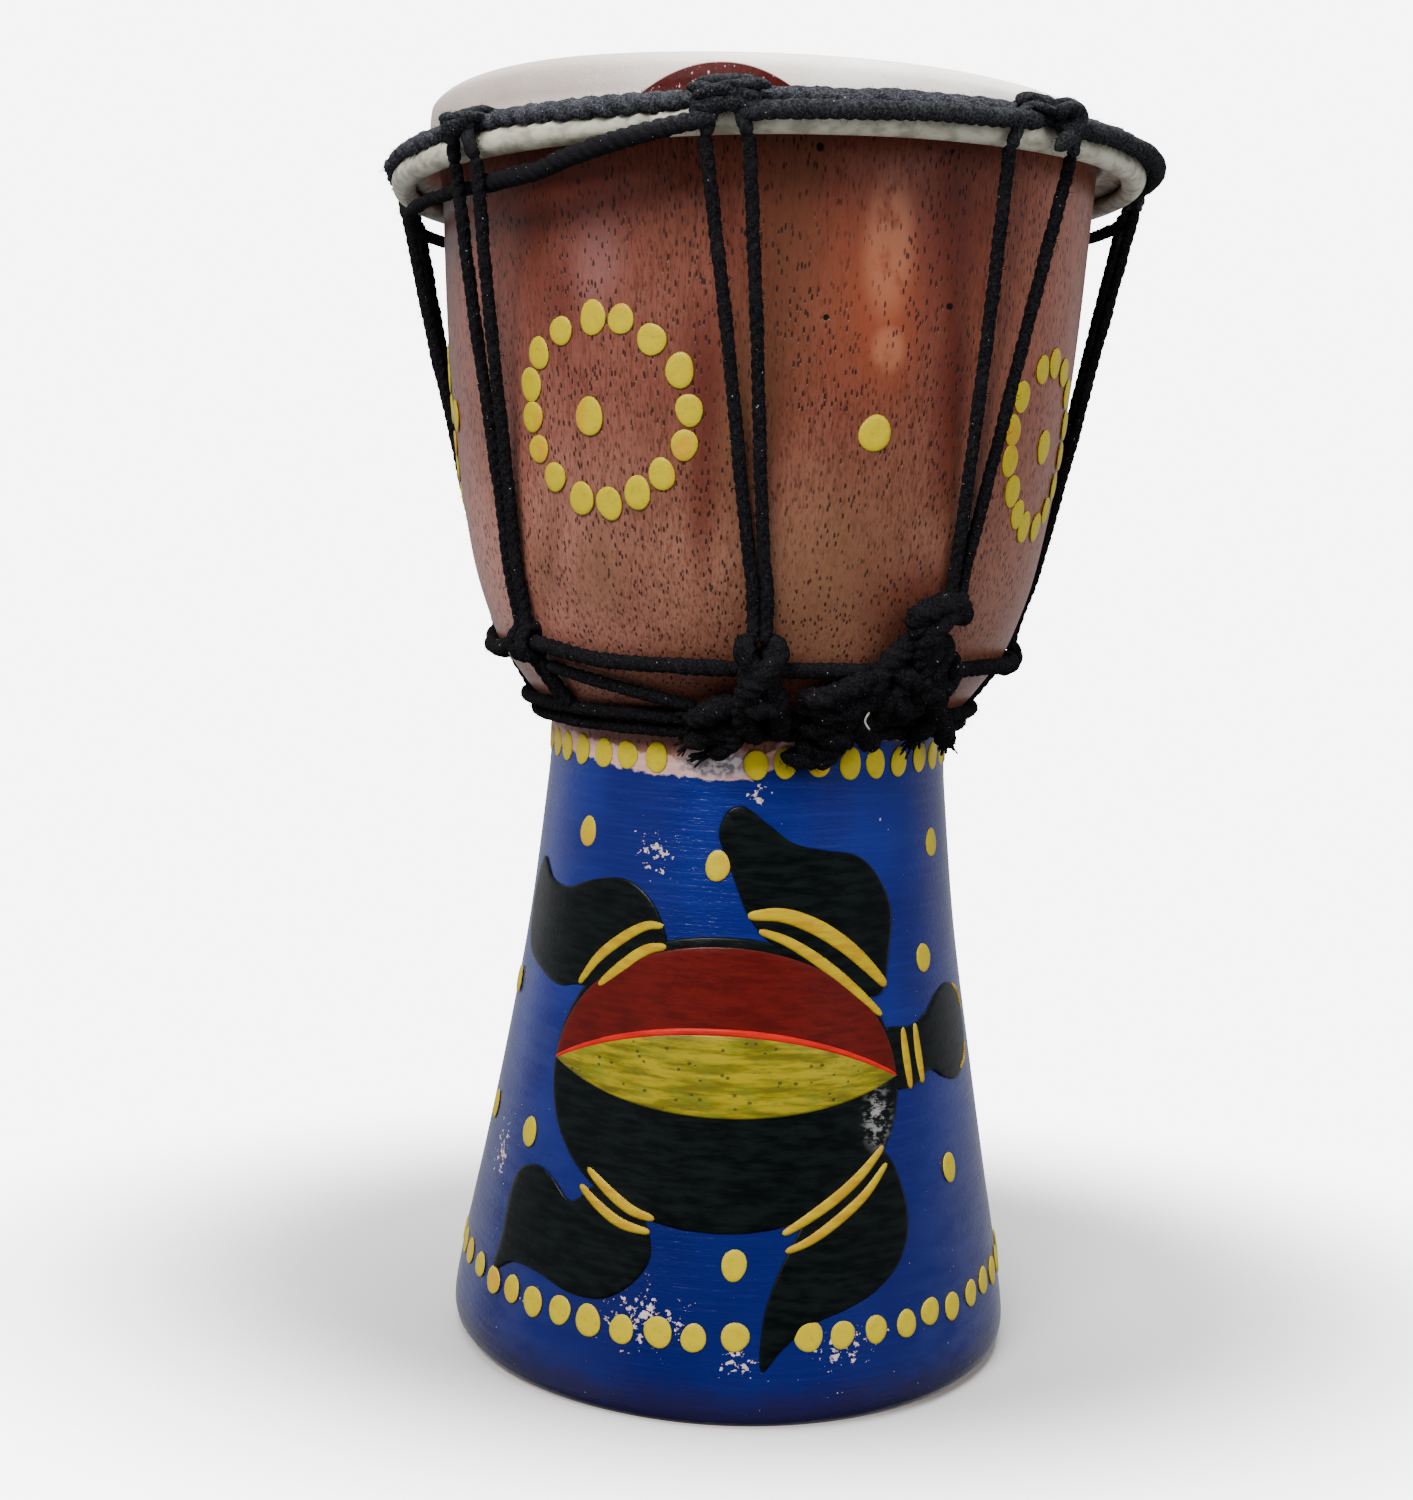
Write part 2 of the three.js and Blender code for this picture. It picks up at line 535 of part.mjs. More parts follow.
// The last turns of lacing hang in a bundle between the two knots
function buildLashing() {
  const room = KNOT_STRAND + 2.4 * GAP;
  const knotRoom = [...knotStrands(FRONT, FRONT_KNOT, room), ...knotStrands(SIDE, SIDE_KNOT, room)];
  const neighbours = [bowlKeepOut, ...ringsKeepOut, ...knotRoom.map(toManifold)];
  const strands = LASHING.map((line) => looseStrand(HITCHES[FRONT].wrap, line));
  addPiece('lashing_cord', knot(strands, neighbours), cotton);
}

buildShell();
buildSkin();
buildHoopAndRope();
buildHitches();
buildHoopSpans();
buildTensionCords();
buildCordRings();
buildWaistWraps();
buildSlantCord();
buildKnots();
buildLashing();

export default drum;
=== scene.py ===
# The looks of a small rope-tuned goblet drum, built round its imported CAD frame.
# Lengths are in millimetres until a mesh is made, and angles in degrees round the drum from
# the front (-Y), positive towards +X.
import math

import bmesh
import bpy
import numpy as np
from mathutils import Matrix, Vector
from mathutils.geometry import delaunay_2d_cdt


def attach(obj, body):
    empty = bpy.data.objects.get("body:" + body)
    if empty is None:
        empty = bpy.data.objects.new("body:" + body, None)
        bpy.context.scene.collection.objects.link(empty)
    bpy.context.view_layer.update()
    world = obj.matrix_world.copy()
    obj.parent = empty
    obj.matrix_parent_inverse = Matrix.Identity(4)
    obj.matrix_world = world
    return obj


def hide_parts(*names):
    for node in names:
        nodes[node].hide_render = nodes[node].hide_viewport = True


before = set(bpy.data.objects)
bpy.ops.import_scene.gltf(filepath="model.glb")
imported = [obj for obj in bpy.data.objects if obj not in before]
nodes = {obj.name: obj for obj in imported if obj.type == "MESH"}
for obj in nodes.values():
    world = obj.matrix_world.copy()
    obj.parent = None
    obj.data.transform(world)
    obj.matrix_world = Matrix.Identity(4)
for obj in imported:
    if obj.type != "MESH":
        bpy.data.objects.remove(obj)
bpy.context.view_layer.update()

MM = 0.001

# --- Sizes, most of them shared with the CAD part ---

HOOP_RADIUS, HOOP_HEIGHT = 58.05, 188.45
ROPE_RADIUS, ROPE_HEIGHT, ROPE_SIZE = 57.85, 192.45, 3.5
CORD_SIZE, WAIST_SIZE, SPAN_SIZE, KNOT_SIZE = 2.0, 2.5, 2.7, 2.8
# Cord above the first height loses a share of its height there, and sinks a little besides
PRESS_HEIGHT, PRESS_SHARE = 190.7, 0.38
SINK, SINK_OVER = 0.35, 1.6
# The hoop leans, and what lies outside this radius leans with it
HOOP_LEAN, LEAN_FROM, LEAN_OVER = 0.033, 52.6, 2.6
HITCHES = [
    # angle on the rope, half the spread of its two legs, angle of the wrap below
    (-101, 2.6, -102),
    (-44.5, 2.3, -50.5),
    (-5.2, 2.8, 1.6),
    (38.6, 5.8, 39.4),
    (97, 3, 98),
    (145, 3, 146),
    (194, 3, 196),
]
LEFT, FRONT, SIDE = 1, 2, 3
LEG_TOP = (60.6, 185.6)
LEG_TOUCH, LEG_END = 130, 119.2
FRONT_KNOT_RISE, SIDE_KNOT_RISE = 1.8, 8.5
WAIST_HEIGHT, WAIST_PULL = 114.3, 2.0
NECK_CONTACT = (104.7, 107.1)
# How far from the wood the middle of a cord lies
REST_LIFT = CORD_SIZE / 2 + 0.25
WAIST_LIFT = WAIST_SIZE / 2 + 0.25

# Strands over the rope: millimetres along, out from and above its middle
HITCH_BIGHT = [(-3.3, 2.3, 0.9), (-2.6, 4.1, -0.1), (0, 5, -0.7), (2.6, 4.1, -0.1), (3.3, 2.3, 0.9)]
HITCH_LUMPS = {
    LEFT: [
        [(-2.8, 3, 1), (-1.6, 4.6, 0.4), (0.8, 5, -0.2), (2.6, 3.9, -1)],
        [(2.4, 3.4, 1.2), (1, 5, -1.6), (-0.8, 5.2, -2.6), (-0.4, 4.6, -4.6)],
    ],
    FRONT: [
        [(-5.4, 2.8, 1.6), (-3.2, 3.9, 0.6), (0.2, 4.6, -0.6), (3, 4.2, -1.6), (4.4, 3.6, -2.6)],
        [(-4.4, 3.7, -1.6), (-2, 4.8, -0.6), (1.2, 4.6, 0.6), (4, 3.6, 1.2), (5.4, 2.9, 0.8)],
        [(-4.2, 1.8, 2.6), (-1.6, 3, 2.2), (1.4, 3.2, 2), (4.2, 1.6, 2.4)],
        [(-4.8, 3.2, -3.4), (-1.5, 4.2, -2.6), (1.5, 4.3, -2.5), (4.8, 3.3, -3.0)],
    ],
    SIDE: [
        [(-4.4, 2.8, 0.6), (-3.4, 2.2, 2), (-1.6, 2.4, 2.3), (0, 3.2, 1.2), (-0.6, 4, -0.8)],
        [(0.6, 3.2, 1.6), (2.6, 4.4, 1.6), (4.4, 4.8, -0.4), (3.4, 4.8, -2.8), (1.2, 4.8, -3.2)],
        [(1.2, 5, -2.6), (0.6, 5.4, -0.6), (2.4, 5.6, 0.4), (3.8, 5, -1.6), (2.2, 5, -4.8),
         (0.4, 4.8, -6.6)],
    ],
}
# Radius and height of the lacing between hitches: as a rule, and for the spans at the front
SPAN_PATH = [(57.2, 183.1)] * 4
SPAN_END = (59.2, 183.9)         # where a span under the hoop ends, beside a leg
SPAN_PATHS = {
    LEFT: [(57.4, 183), (58.7, 183.5), (60.95, 185.95), (61.65, 188.2)],
    FRONT: [(61.75, 188.8), (61.75, 189), (61.7, 189.3), (61.65, 189.6)],
    SIDE: [(61.65, 189.6)] * 4,
}
# Strands of the knots: millimetres along from the wrap at radius 46, radius, height
FRONT_KNOT = [
    [(-2, 45.2, 119.4), (-2.2, 46.4, 116.8), (-0.2, 45.6, 113.8), (2.4, 43.4, 111.2),
     (4, 40.4, 107.6), (3.8, 36.8, 104)],
    [(2, 45.2, 119.4), (2.6, 46.4, 116.8), (1, 46.8, 114.2), (-1.4, 44.2, 111.4),
     (-2.4, 41.4, 108.4), (-1, 38.2, 105), (2.2, 36.2, 103.2)],
    [(-3.6, 40.8, 109.6), (-1, 43.2, 109), (1.8, 43.2, 108.8), (4.6, 41.6, 109.8)],
    [(-2.2, 41.2, 108.8), (-5.6, 40.8, 108.4), (-9, 40, 107.2), (-12.6, 38.6, 105.8)],
    [(-2.6, 38.8, 106), (-6.6, 37.2, 104.6), (-10.4, 36.4, 103.4), (-13.4, 35.2, 102.2)],
    [(-2.2, 38.6, 105.4), (-4.2, 36.6, 103), (-7, 35.2, 101.6), (-9.8, 34.8, 101)],
]
SIDE_KNOT = [
    [(-2.2, 48.2, 125.8), (-4, 48.4, 124.6), (-6.2, 49.4, 123.4), (-8, 49, 121.6), (-7.4, 47.2, 119)],
    [(0.4, 48, 125.8), (-1.4, 49.2, 124.4), (-4.6, 50.6, 122.8), (-6.4, 49.8, 120.6),
     (-6.2, 47.6, 117.6), (-4.6, 45.6, 114.8)],
    [(2, 46.8, 122.2), (-3.4, 50.4, 124.2), (-6.6, 51, 124.4), (-8.2, 49.8, 123), (-8, 46.8, 121.2)],
    [(-3.8, 48.4, 120.4), (-2.4, 47.4, 117.4), (-3.2, 46.8, 114.6), (-0.6, 44.8, 111.8),
     (2, 42.2, 109), (5.4, 39.4, 106.2)],
    [(-7.2, 47.8, 120.4), (-8.8, 46.2, 117.8), (-10.4, 44.8, 115), (-11.6, 43.6, 112.2),
     (-11.8, 41.6, 109.2)],
    [(-5.4, 46.2, 116.4), (-6.8, 44.6, 113.6), (-8.4, 43, 110.6), (-8.8, 40.4, 107.6), (-8.6, 38, 105.2)],
    [(-4.6, 44.2, 112.6), (-3.2, 45.4, 111.6), (0.2, 45, 111.6), (3.6, 43.4, 112.8)],
    [(4, 40.6, 107.6), (10.4, 37.8, 104.6), (16.2, 36.4, 101.6)],
    [(3.4, 40.2, 107), (4.2, 37.8, 104.8), (4.4, 36, 103)],
]
LASHING = [
    [(6.6, 40.8, 108.4), (9.8, 41.2, 109), (12.8, 42, 109.8), (15.4, 42.8, 111)],
    [(7.6, 38.6, 105.6), (10.8, 38.6, 105.6), (14.4, 39.4, 106.6), (17, 41, 108.4)],
    [(7.6, 36, 102.8), (11.2, 35.8, 101.8), (15.2, 35.8, 102.2), (19.4, 37.2, 104.8)],
    [(5.4, 35.2, 101), (9.4, 34.8, 100.2), (14, 34.8, 100.4), (17.8, 35, 101.8)],
    [(14.8, 43, 110.6), (15.8, 41.4, 108.2), (16.4, 38.8, 105.2), (15.6, 36, 102)],
]
# Loose turns that fill out the side knot, slack between it and the lashing, and pale threads
# caught in it
SIDE_KNOT_SLACK = [
    [(-5.2, 49, 121.4), (-4.6, 47.6, 118), (-4.8, 45.8, 114.4), (-3.8, 43.6, 110.6), (-2.6, 40.6, 107.4)],
    [(-10, 45.6, 114.6), (-7.4, 45.6, 113.8), (-4.6, 45.4, 113.2), (-1.8, 45.2, 112.4), (0.8, 44, 110.6)],
    [(-10.6, 43.8, 111.6), (-8, 43.2, 110), (-5.2, 42.6, 108.8), (-2.2, 41.6, 107.6)],
]
LASHING_SLACK = [
    [(6.0, 42.6, 110.4), (10.0, 43.4, 110.6), (14.6, 44.2, 112.2), (18.4, 45, 113.6)],
    [(8.6, 40.6, 107.6), (13.0, 41, 108), (17.6, 42, 109.6), (21.4, 43, 111.4)],
    [(11.0, 37.6, 103.8), (15.6, 38.2, 104.4), (20.0, 39, 106.2), (23.6, 40.4, 108.4)],
    [(17.0, 41.8, 108.6), (18.6, 40.2, 106.4), (20.6, 38.2, 104), (24.6, 36.8, 102.6)],
]
PALE_THREADS = [
    [(-9.6, 45.6, 113.6), (-9, 46.2, 115.4), (-9.8, 46.8, 117)],
    [(-11.8, 42.8, 105.6), (-12.8, 43, 107), (-12.2, 43.2, 108.4)],
]
CORD_PITCH = 5.2                # one turn of a cord's three strands
TAIL_END = 107.8                # where the cord below a wrap goes under the neck turns
SLANT_TOP, SLANT_FALL = 113.6, 4.8
KNOT_DEGREE = 46 * math.pi / 180    # millimetres in a degree where the knots are measured
HOOP_DEGREE = HOOP_RADIUS * math.pi / 180

rng = np.random.default_rng(7)


# --- Places ---

def place(angle, radius, height):
    """Points round the drum's axis, one row each."""
    angle, radius, height = np.broadcast_arrays(np.radians(angle), radius, height)
    return np.stack([radius * np.sin(angle), -radius * np.cos(angle), height], -1).astype(float)


def radius_of(points):
    return np.hypot(points[..., 0], points[..., 1])


def angle_of(points):
    return np.degrees(np.arctan2(points[..., 0], -points[..., 1]))


def wrapped(angle):
    """The same angle from -180 to 180."""
    return (angle + 180) % 360 - 180


def angles_round(count):
    return np.arange(count) * 360 / count


def ramp(value, low, high):
    """0 at low, 1 at high and straight between, for numbers of an array."""
    return np.clip((value - low) / (high - low), 0, 1)


def hump(value, middle, width, power=2):
    """1 at the middle, falling away smoothly to either side."""
    return np.exp(-((value - middle) / width) ** power)


def lean_share(radius):
    return ramp(radius, LEAN_FROM, LEAN_FROM + LEAN_OVER)


def lean(points):
    """The hoop and all that it carries lean with it."""
    points = np.array(points, float)
    points[..., 2] += HOOP_LEAN * points[..., 0] * lean_share(radius_of(points))
    return points


def press_down(points):
    """Cord on top of the hoop is pulled down tight, which flattens it and sinks it a little."""
    points = np.array(points, float)
    above = points[..., 2] - HOOP_LEAN * points[..., 0] - PRESS_HEIGHT
    points[..., 2] -= PRESS_SHARE * np.maximum(above, 0) + SINK * ramp(above, -SINK_OVER, 0)
    return points


def smooth_line(points, closed=False, steps=12):
    """A centripetal Catmull-Rom curve through the points."""
    points = np.array(points, float)
    if closed:
        ring = np.concatenate([points[-1:], points, points[:2]])
    else:
        ring = np.concatenate([2 * points[:1] - points[1:2], points, 2 * points[-1:] - points[-2:-1]])
    line = []
    for corners in zip(ring, ring[1:], ring[2:], ring[3:]):
        gaps = [max(np.linalg.norm(b - a), 1e-6) ** 0.5 for a, b in zip(corners, corners[1:])]
        at = [0, *np.cumsum(gaps)]
        for t in np.linspace(at[1], at[2], steps, endpoint=False):
            level = corners
            for spans in (((0, 1), (1, 2), (2, 3)), ((0, 2), (1, 3)), ((1, 2),)):
                shares = [(t - at[i]) / (at[j] - at[i]) for i, j in spans]
                level = [a + (b - a) * share for a, b, share in zip(level, level[1:], shares)]
            line.append(level[0])
    if not closed:
        line.append(points[-1])
    return np.array(line)


def evenly(line, step, closed=False):
    """The same line with points a given distance apart."""
    if closed:
        line = np.concatenate([line, line[:1]])
    along = np.concatenate([[0], np.cumsum(np.linalg.norm(np.diff(line, axis=0), axis=1))])
    count = max(int(round(along[-1] / step)), 2)
    at = np.linspace(0, along[-1], count, endpoint=not closed)
    return np.stack([np.interp(at, along, line[:, k]) for k in range(line.shape[1])], 1)


def meridian(node):
    """The turned profile of a CAD node, as (radius, height) points in order round its section."""
    mesh = bmesh.new()
    mesh.from_mesh(nodes[node].data)
    bmesh.ops.remove_doubles(mesh, verts=mesh.verts, dist=1e-6)
    on_plane = [v for v in mesh.verts if abs(v.co.y) < 1e-6 and v.co.x > -1e-6]
    # a chain from the axis is walked from its end, and a closed section from anywhere
    walk = [min(on_plane, key=lambda v: (v.co.x > 1e-6, v.co.z))]
    ahead = walk
    while ahead:
        ahead = [e.other_vert(walk[-1]) for e in walk[-1].link_edges]
        ahead = [v for v in ahead if v in on_plane and v not in walk]
        walk += ahead[:1]
    line = np.array([(v.co.x, v.co.z) for v in walk]) / MM
    mesh.free()
    line[:, 1] -= HOOP_LEAN * line[:, 0] * lean_share(line[:, 0])
    return line


def outside_of(line):
    """Radius against height on the outside of the shell, finely spaced."""
    top = int(np.argmax(line[:, 1] * 1000 + line[:, 0]))
    foot = int(np.argmax(np.where(line[:, 1] < 1, line[:, 0], -1)))
    one, other = sorted((top, foot))
    stretches = [line[one:other + 1], np.concatenate([line[other:], line[:one + 1]])]
    outer = max(stretches, key=lambda s: s[:, 0].mean())
    return smooth_line(outer[np.argsort(outer[:, 1])], steps=16)


shell_section = meridian("shell")
shell_outside = outside_of(shell_section)


def shell_radius(height):
    return np.interp(height, shell_outside[:, 1], shell_outside[:, 0])


def shell_degree(height):
    """Millimetres in one degree round the shell."""
    return shell_radius(height) * math.pi / 180


def on_shell(angle, height, lift=0.0):
    """Points this far off the outside of the shell, along its normal."""
    height = np.asarray(height, float)
    slope = shell_radius(height + 0.5) - shell_radius(height - 0.5)
    size = np.sqrt(1 + slope ** 2)
    return place(angle, shell_radius(height) + lift / size, height - lift * slope / size)


def radius_beside(height, lift):
    """Radius of a cord centre this high and this far off the shell."""
    contact = np.array(height, float)
    for _ in range(6):
        contact = contact - (on_shell(0, contact, lift)[..., 2] - height)
    return -on_shell(0, contact, lift)[..., 1]


# --- Meshes ---

def add_to_scene(name, data):
    made = bpy.data.objects.new(name, data)
    bpy.context.scene.collection.objects.link(made)
    return made


def add_piece(name, mesh, material, slot, *replaced):
    """A piece on the drum's one body, from points in millimetres, that may stand for CAD nodes."""
    points, faces = mesh
    data = bpy.data.meshes.new(name)
    data.from_pydata((np.asarray(points, float) * MM).tolist(), [], [list(map(int, f)) for f in faces])
    data.validate()
    piece = add_to_scene(name, data)
    data.materials.append(material)
    data.polygons.foreach_set("use_smooth", [True] * len(data.polygons))
    work = bmesh.new()
    work.from_mesh(data)
    bmesh.ops.recalc_face_normals(work, faces=work.faces)
    work.to_mesh(data)
    work.free()
    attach(piece, "root")
    if replaced:
        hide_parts(*replaced)
    return piece


def grid_faces(rows, columns, close_rows=False):
    """Quads of a grid of points whose columns go all the way round, and maybe its rows too."""
    r, c = np.meshgrid(np.arange(rows if close_rows else rows - 1), np.arange(columns), indexing="ij")
    r1, c1 = (r + 1) % rows, (c + 1) % columns
    quads = np.stack([r * columns + c, r * columns + c1, r1 * columns + c1, r1 * columns + c], -1)
    return quads.reshape(-1, 4).tolist()


def closed_grid(rows, first, last):
    """Rows of points that go round, each end closed by a fan from its middle point."""
    count, columns = rows.shape[:2]
    faces = grid_faces(count, columns)
    middle = count * columns
    for base in (0, middle - columns):
        faces += [[middle, base + k, base + (k + 1) % columns] for k in range(columns)]
        middle += 1
    return np.concatenate([rows.reshape(-1, 3), [first, last]]), faces


def turned(section, columns):
    """Points of a section turned round the axis, one row of points for each section point."""
    return place(angles_round(columns)[None, :], section[:, 0:1], section[:, 1:2])


def unit(vectors):
    return vectors / np.linalg.norm(vectors, axis=-1, keepdims=True)


def frames_along(line, closed):
    """Unit tangents and two cross directions that turn as little as possible."""
    ahead = np.roll(line, -1, 0) - np.roll(line, 1, 0) if closed else np.gradient(line, axis=0)
    tangent = unit(ahead)
    side = np.zeros_like(line)
    last = np.array([0, 0, 1.0]) if abs(tangent[0][2]) < 0.9 else np.array([1.0, 0, 0])
    for i, along in enumerate(tangent):
        last = side[i] = unit(last - along * (last @ along))
    if closed:
        last = last - tangent[0] * (last @ tangent[0])
        up = np.cross(tangent[0], side[0])
        drift = math.atan2(last @ up, last @ side[0])
        back = -drift * np.arange(len(line))[:, None] / len(line)
        side = side * np.cos(back) + np.cross(tangent, side) * np.sin(back)
    return tangent, side, np.cross(tangent, side)


def smooth_noise(source, count, spacing, closed):
    """Random values from -1 to 1 that change slowly along a line."""
    knots = max(count // spacing, 4)
    values = source.uniform(-1, 1, knots + 1)
    if closed:
        values[-1] = values[0]
    at = np.linspace(0, knots, count, endpoint=not closed)
    low = np.floor(at).astype(int).clip(0, knots - 1)
    t = at - low
    t = t * t * (3 - 2 * t)
    return values[low] * (1 - t) + values[low + 1] * t


def twisted(line, size, seed, pitch=CORD_PITCH, closed=False, sides=16, taper=0.0, plump=0.72, rough=1.0):
    """A cord of three strands along a line, its outline turned as it goes and made uneven."""
    line = evenly(line, size * 0.12, closed)
    local = np.random.default_rng(seed + 11)
    count = len(line)
    step = np.linalg.norm(np.diff(line, axis=0), axis=1).mean()
    slow = max(int(1.6 * size / step), 2)
    wander = np.stack([smooth_noise(local, count, slow, closed) for _ in range(3)], 1)
    line = line + 0.03 * size * rough * wander
    _, side, up = frames_along(line, closed)
    turns = count * step / pitch
    if closed:
        turns = round(turns)
    turn = 2 * math.pi * turns * np.arange(count)[:, None] / count
    around = np.arange(sides) * 2 * math.pi / sides
    strand = size / 2 * plump
    offset = size / 2 - strand
    third = 2 * math.pi / 3
    lead = (around - turn) % third
    lead = np.minimum(lead, third - lead)
    radius = offset * np.cos(lead) + np.sqrt(strand ** 2 - (offset * np.sin(lead)) ** 2)
    swell = smooth_noise(local, count, max(int(size / step), 2), closed)
    radius = radius * (1 + 0.045 * rough * swell[:, None])
    radius = radius + 0.008 * size * rough * local.standard_normal(radius.shape)
    if taper and not closed:
        along = np.arange(count) * step
        ends = np.minimum(along, along[-1] - along) / (size * taper)
        radius = radius * np.sqrt(np.clip(ends, 0.02, 1))[:, None]
    ring = np.cos(around)[:, None] * side[:, None] + np.sin(around)[:, None] * up[:, None]
    rows = line[:, None] + radius[..., None] * ring
    if closed:
        return rows.reshape(-1, 3), grid_faces(count, sides, close_rows=True)
    return closed_grid(rows, line[0], line[-1])


def fuzz(line, size, per_mm, seed):
    """Loose fibres that stand off a cord, each a fine tapering thread."""
    local = np.random.default_rng(seed + 501)
    line = evenly(line, 0.5)
    tangent, side, up = frames_along(line, False)
    count = max(int(0.5 * len(line) * per_mm), 1)
    at = local.integers(1, len(line) - 1, count)
    turn = local.uniform(0, 2 * math.pi, count)[:, None]
    out = np.cos(turn) * side[at] + np.sin(turn) * up[at]
    across = np.cross(tangent[at], out)
    reach = local.uniform(0.35, 1.0, count)[:, None]
    run = local.uniform(-1, 1, count)[:, None] * tangent[at]
    run = run + local.uniform(-0.5, 0.5, count)[:, None] * across
    rings = []
    for share, thick in ((0, 0.045), (0.5, 0.035), (1, 0.012)):
        centre = line[at] + out * (size * 0.42 + reach * share) + run * reach * share * share
        for k in range(3):
            a = k * 2 * math.pi / 3
            rings.append(centre + thick * (math.cos(a) * tangent[at] + math.sin(a) * across))
    fibre = grid_faces(3, 3) + [[2, 1, 0], [6, 7, 8]]
    faces = [[9 * k + i for i in face] for k in range(count) for face in fibre]
    return np.stack(rings, 1).reshape(-1, 3), faces


def joined(parts):
    """Several meshes as one."""
    points, faces, base = [], [], 0
    for p, f in parts:
        points.append(p)
        faces += [[base + int(i) for i in face] for face in f]
        base += len(p)
    return np.concatenate(points), faces


# --- Node trees ---

class Value:
    """A socket of a node tree that takes part in sums and products."""

    def __init__(self, tree, socket):
        self.tree, self.socket = tree, socket

    def __add__(self, other):
        return self.tree.math("ADD", self, other)

    def __sub__(self, other):
        return self.tree.math("SUBTRACT", self, other)

    def __rsub__(self, other):
        return self.tree.math("SUBTRACT", other, self)

    def __mul__(self, other):
        return self.tree.math("MULTIPLY", self, other)


class Nodes:
    """A node tree written as expressions. Every value in them is a socket or a number."""

    def __init__(self, tree):
        self.tree = tree

    def feed(self, socket, value):
        if isinstance(value, Value):
            self.tree.links.new(value.socket, socket)
        elif value is not None:
            socket.default_value = value

    def node(self, kind, inputs, output=0, **settings):
        made = self.tree.nodes.new(kind)
        for key, value in settings.items():
            setattr(made, key, value)
        for key, value in inputs.items():
            self.feed(made.inputs[key], value)
        return Value(self, made.outputs[output])

    def math(self, operation, a, b):
        return self.node("ShaderNodeMath", {0: a, 1: b}, operation=operation)

    def step(self, value, low, high):
        """0 below low, 1 above high, smooth between, or the reverse if low is above high."""
        bottom, top = (0.0, 1.0) if low < high else (1.0, 0.0)
        inputs = {"Value": value, "From Min": min(low, high), "From Max": max(low, high),
                  "To Min": bottom, "To Max": top}
        return self.node("ShaderNodeMapRange", inputs, interpolation_type="SMOOTHSTEP")

    def between(self, share, a, b):
        """From the number a to b as the share goes from 0 to 1."""
        return share * (b - a) + a

    def most(self, *masks):
        """The strongest of several masks."""
        total = masks[0]
        for mask in masks[1:]:
            total = self.math("MAXIMUM", total, mask)
        return total


class Shader(Nodes):
    """A material round one Principled shader."""

    def __init__(self, name, roughness, **constants):
        self.material = bpy.data.materials.new(name)
        self.material.use_nodes = True
        super().__init__(self.material.node_tree)
        self.out = self.tree.nodes["Principled BSDF"].inputs
        self.out["Roughness"].default_value = roughness
        for key, value in constants.items():
            self.out[key.replace("_", " ")].default_value = value
        self.point = self.node("ShaderNodeTexCoord", {}, "Object")
        self.x, self.y, self.z = (self.node("ShaderNodeSeparateXYZ", {0: self.point}, k) for k in range(3))

    def mapped(self, lengths, shift=(0, 0, 0)):
        """Object coordinates in units of these lengths in millimetres."""
        scale = tuple(1 / (length * MM) for length in lengths)
        return self.node("ShaderNodeMapping", {"Vector": self.point, "Scale": scale, "Location": shift})

    def length(self, vector):
        return self.node("ShaderNodeVectorMath", {0: vector}, "Value", operation="LENGTH")

    def noise(self, size, detail=3.0, shift=(0, 0, 0), rough=0.5):
        """Noise whose features have this size in millimetres, one number or three."""
        size = (size,) * 3 if np.isscalar(size) else size
        inputs = {"Vector": self.mapped(size, shift), "Scale": 1.0, "Detail": detail, "Roughness": rough}
        return self.node("ShaderNodeTexNoise", inputs)

    def patches(self, low, high, size, *options, **more):
        """Patches of this size: 0 where the noise is below low, and 1 above high."""
        return self.step(self.noise(size, *options, **more), low, high)

    def cells(self, size):
        """Distance from the nearest of many scattered points this far apart in millimetres."""
        return self.node("ShaderNodeTexVoronoi", {"Vector": self.mapped(size), "Scale": 1.0}, "Distance")

    def blend(self, share, a, b, kind="MIX"):
        a, b = ((*c, 1) if isinstance(c, tuple) else c for c in (a, b))
        inputs = {"Factor": share, 6: a, 7: b}
        return self.node("ShaderNodeMix", inputs, 2, data_type="RGBA", blend_type=kind)

    def layered(self, base, layers):
        """Coats laid one over the other, each with a mask, the share of it that shows and a colour."""
        for mask, share, colour in layers:
            base = self.blend(mask * share, base, colour)
        return base

    def spots(self, rows, softness=0.9):
        """1 at places on the shell, given as angle, height, radii in x, y and z, and maybe softness."""
        masks = []
        for angle, height, radii, *own in rows:
            shift = tuple(-c / r for c, r in zip(on_shell(angle, height), radii))
            length = self.length(self.mapped(radii, shift))
            masks.append(self.step(length, 1.0, 1.0 - (own or [softness])[0]))
        return self.most(*masks)

    def bump(self, height, depth, under=None):
        """A bump whose full height is this many millimetres."""
        inputs = {"Height": height, "Distance": depth * MM, "Strength": 1.0, "Normal": under}
        return self.node("ShaderNodeBump", inputs)

    def finish(self, colour, roughness=None, normal=None):
        for key, value in (("Base Color", colour), ("Roughness", roughness), ("Normal", normal)):
            self.feed(self.out[key], value)
        return self.material


# --- Camera, light and floor ---

CAMERA_PLACE = (0, -0.3242, 0.1354)
CAMERA_PITCH, CAMERA_YAW, CAMERA_ROLL = -0.117, -0.021, 0.032
KEY, FILL, TOP = 14.5, 5.0, 21.0
ROOM, LEFT_WINDOW, RIGHT_WINDOW, BACK_WALL, CEILING = 0.04, 0.34, 0.26, 0.6, 0.4
FLOOR_BOUNCE = 0.75
BACKDROP = 7.0
FOCAL_LENGTH, SENSOR_WIDTH = 46.8, 36
FLOOR_RINGS = [0.03, 0.05, 0.08, 0.12, 0.2, 0.35, 0.6, 1.2, 3, 9, 30]


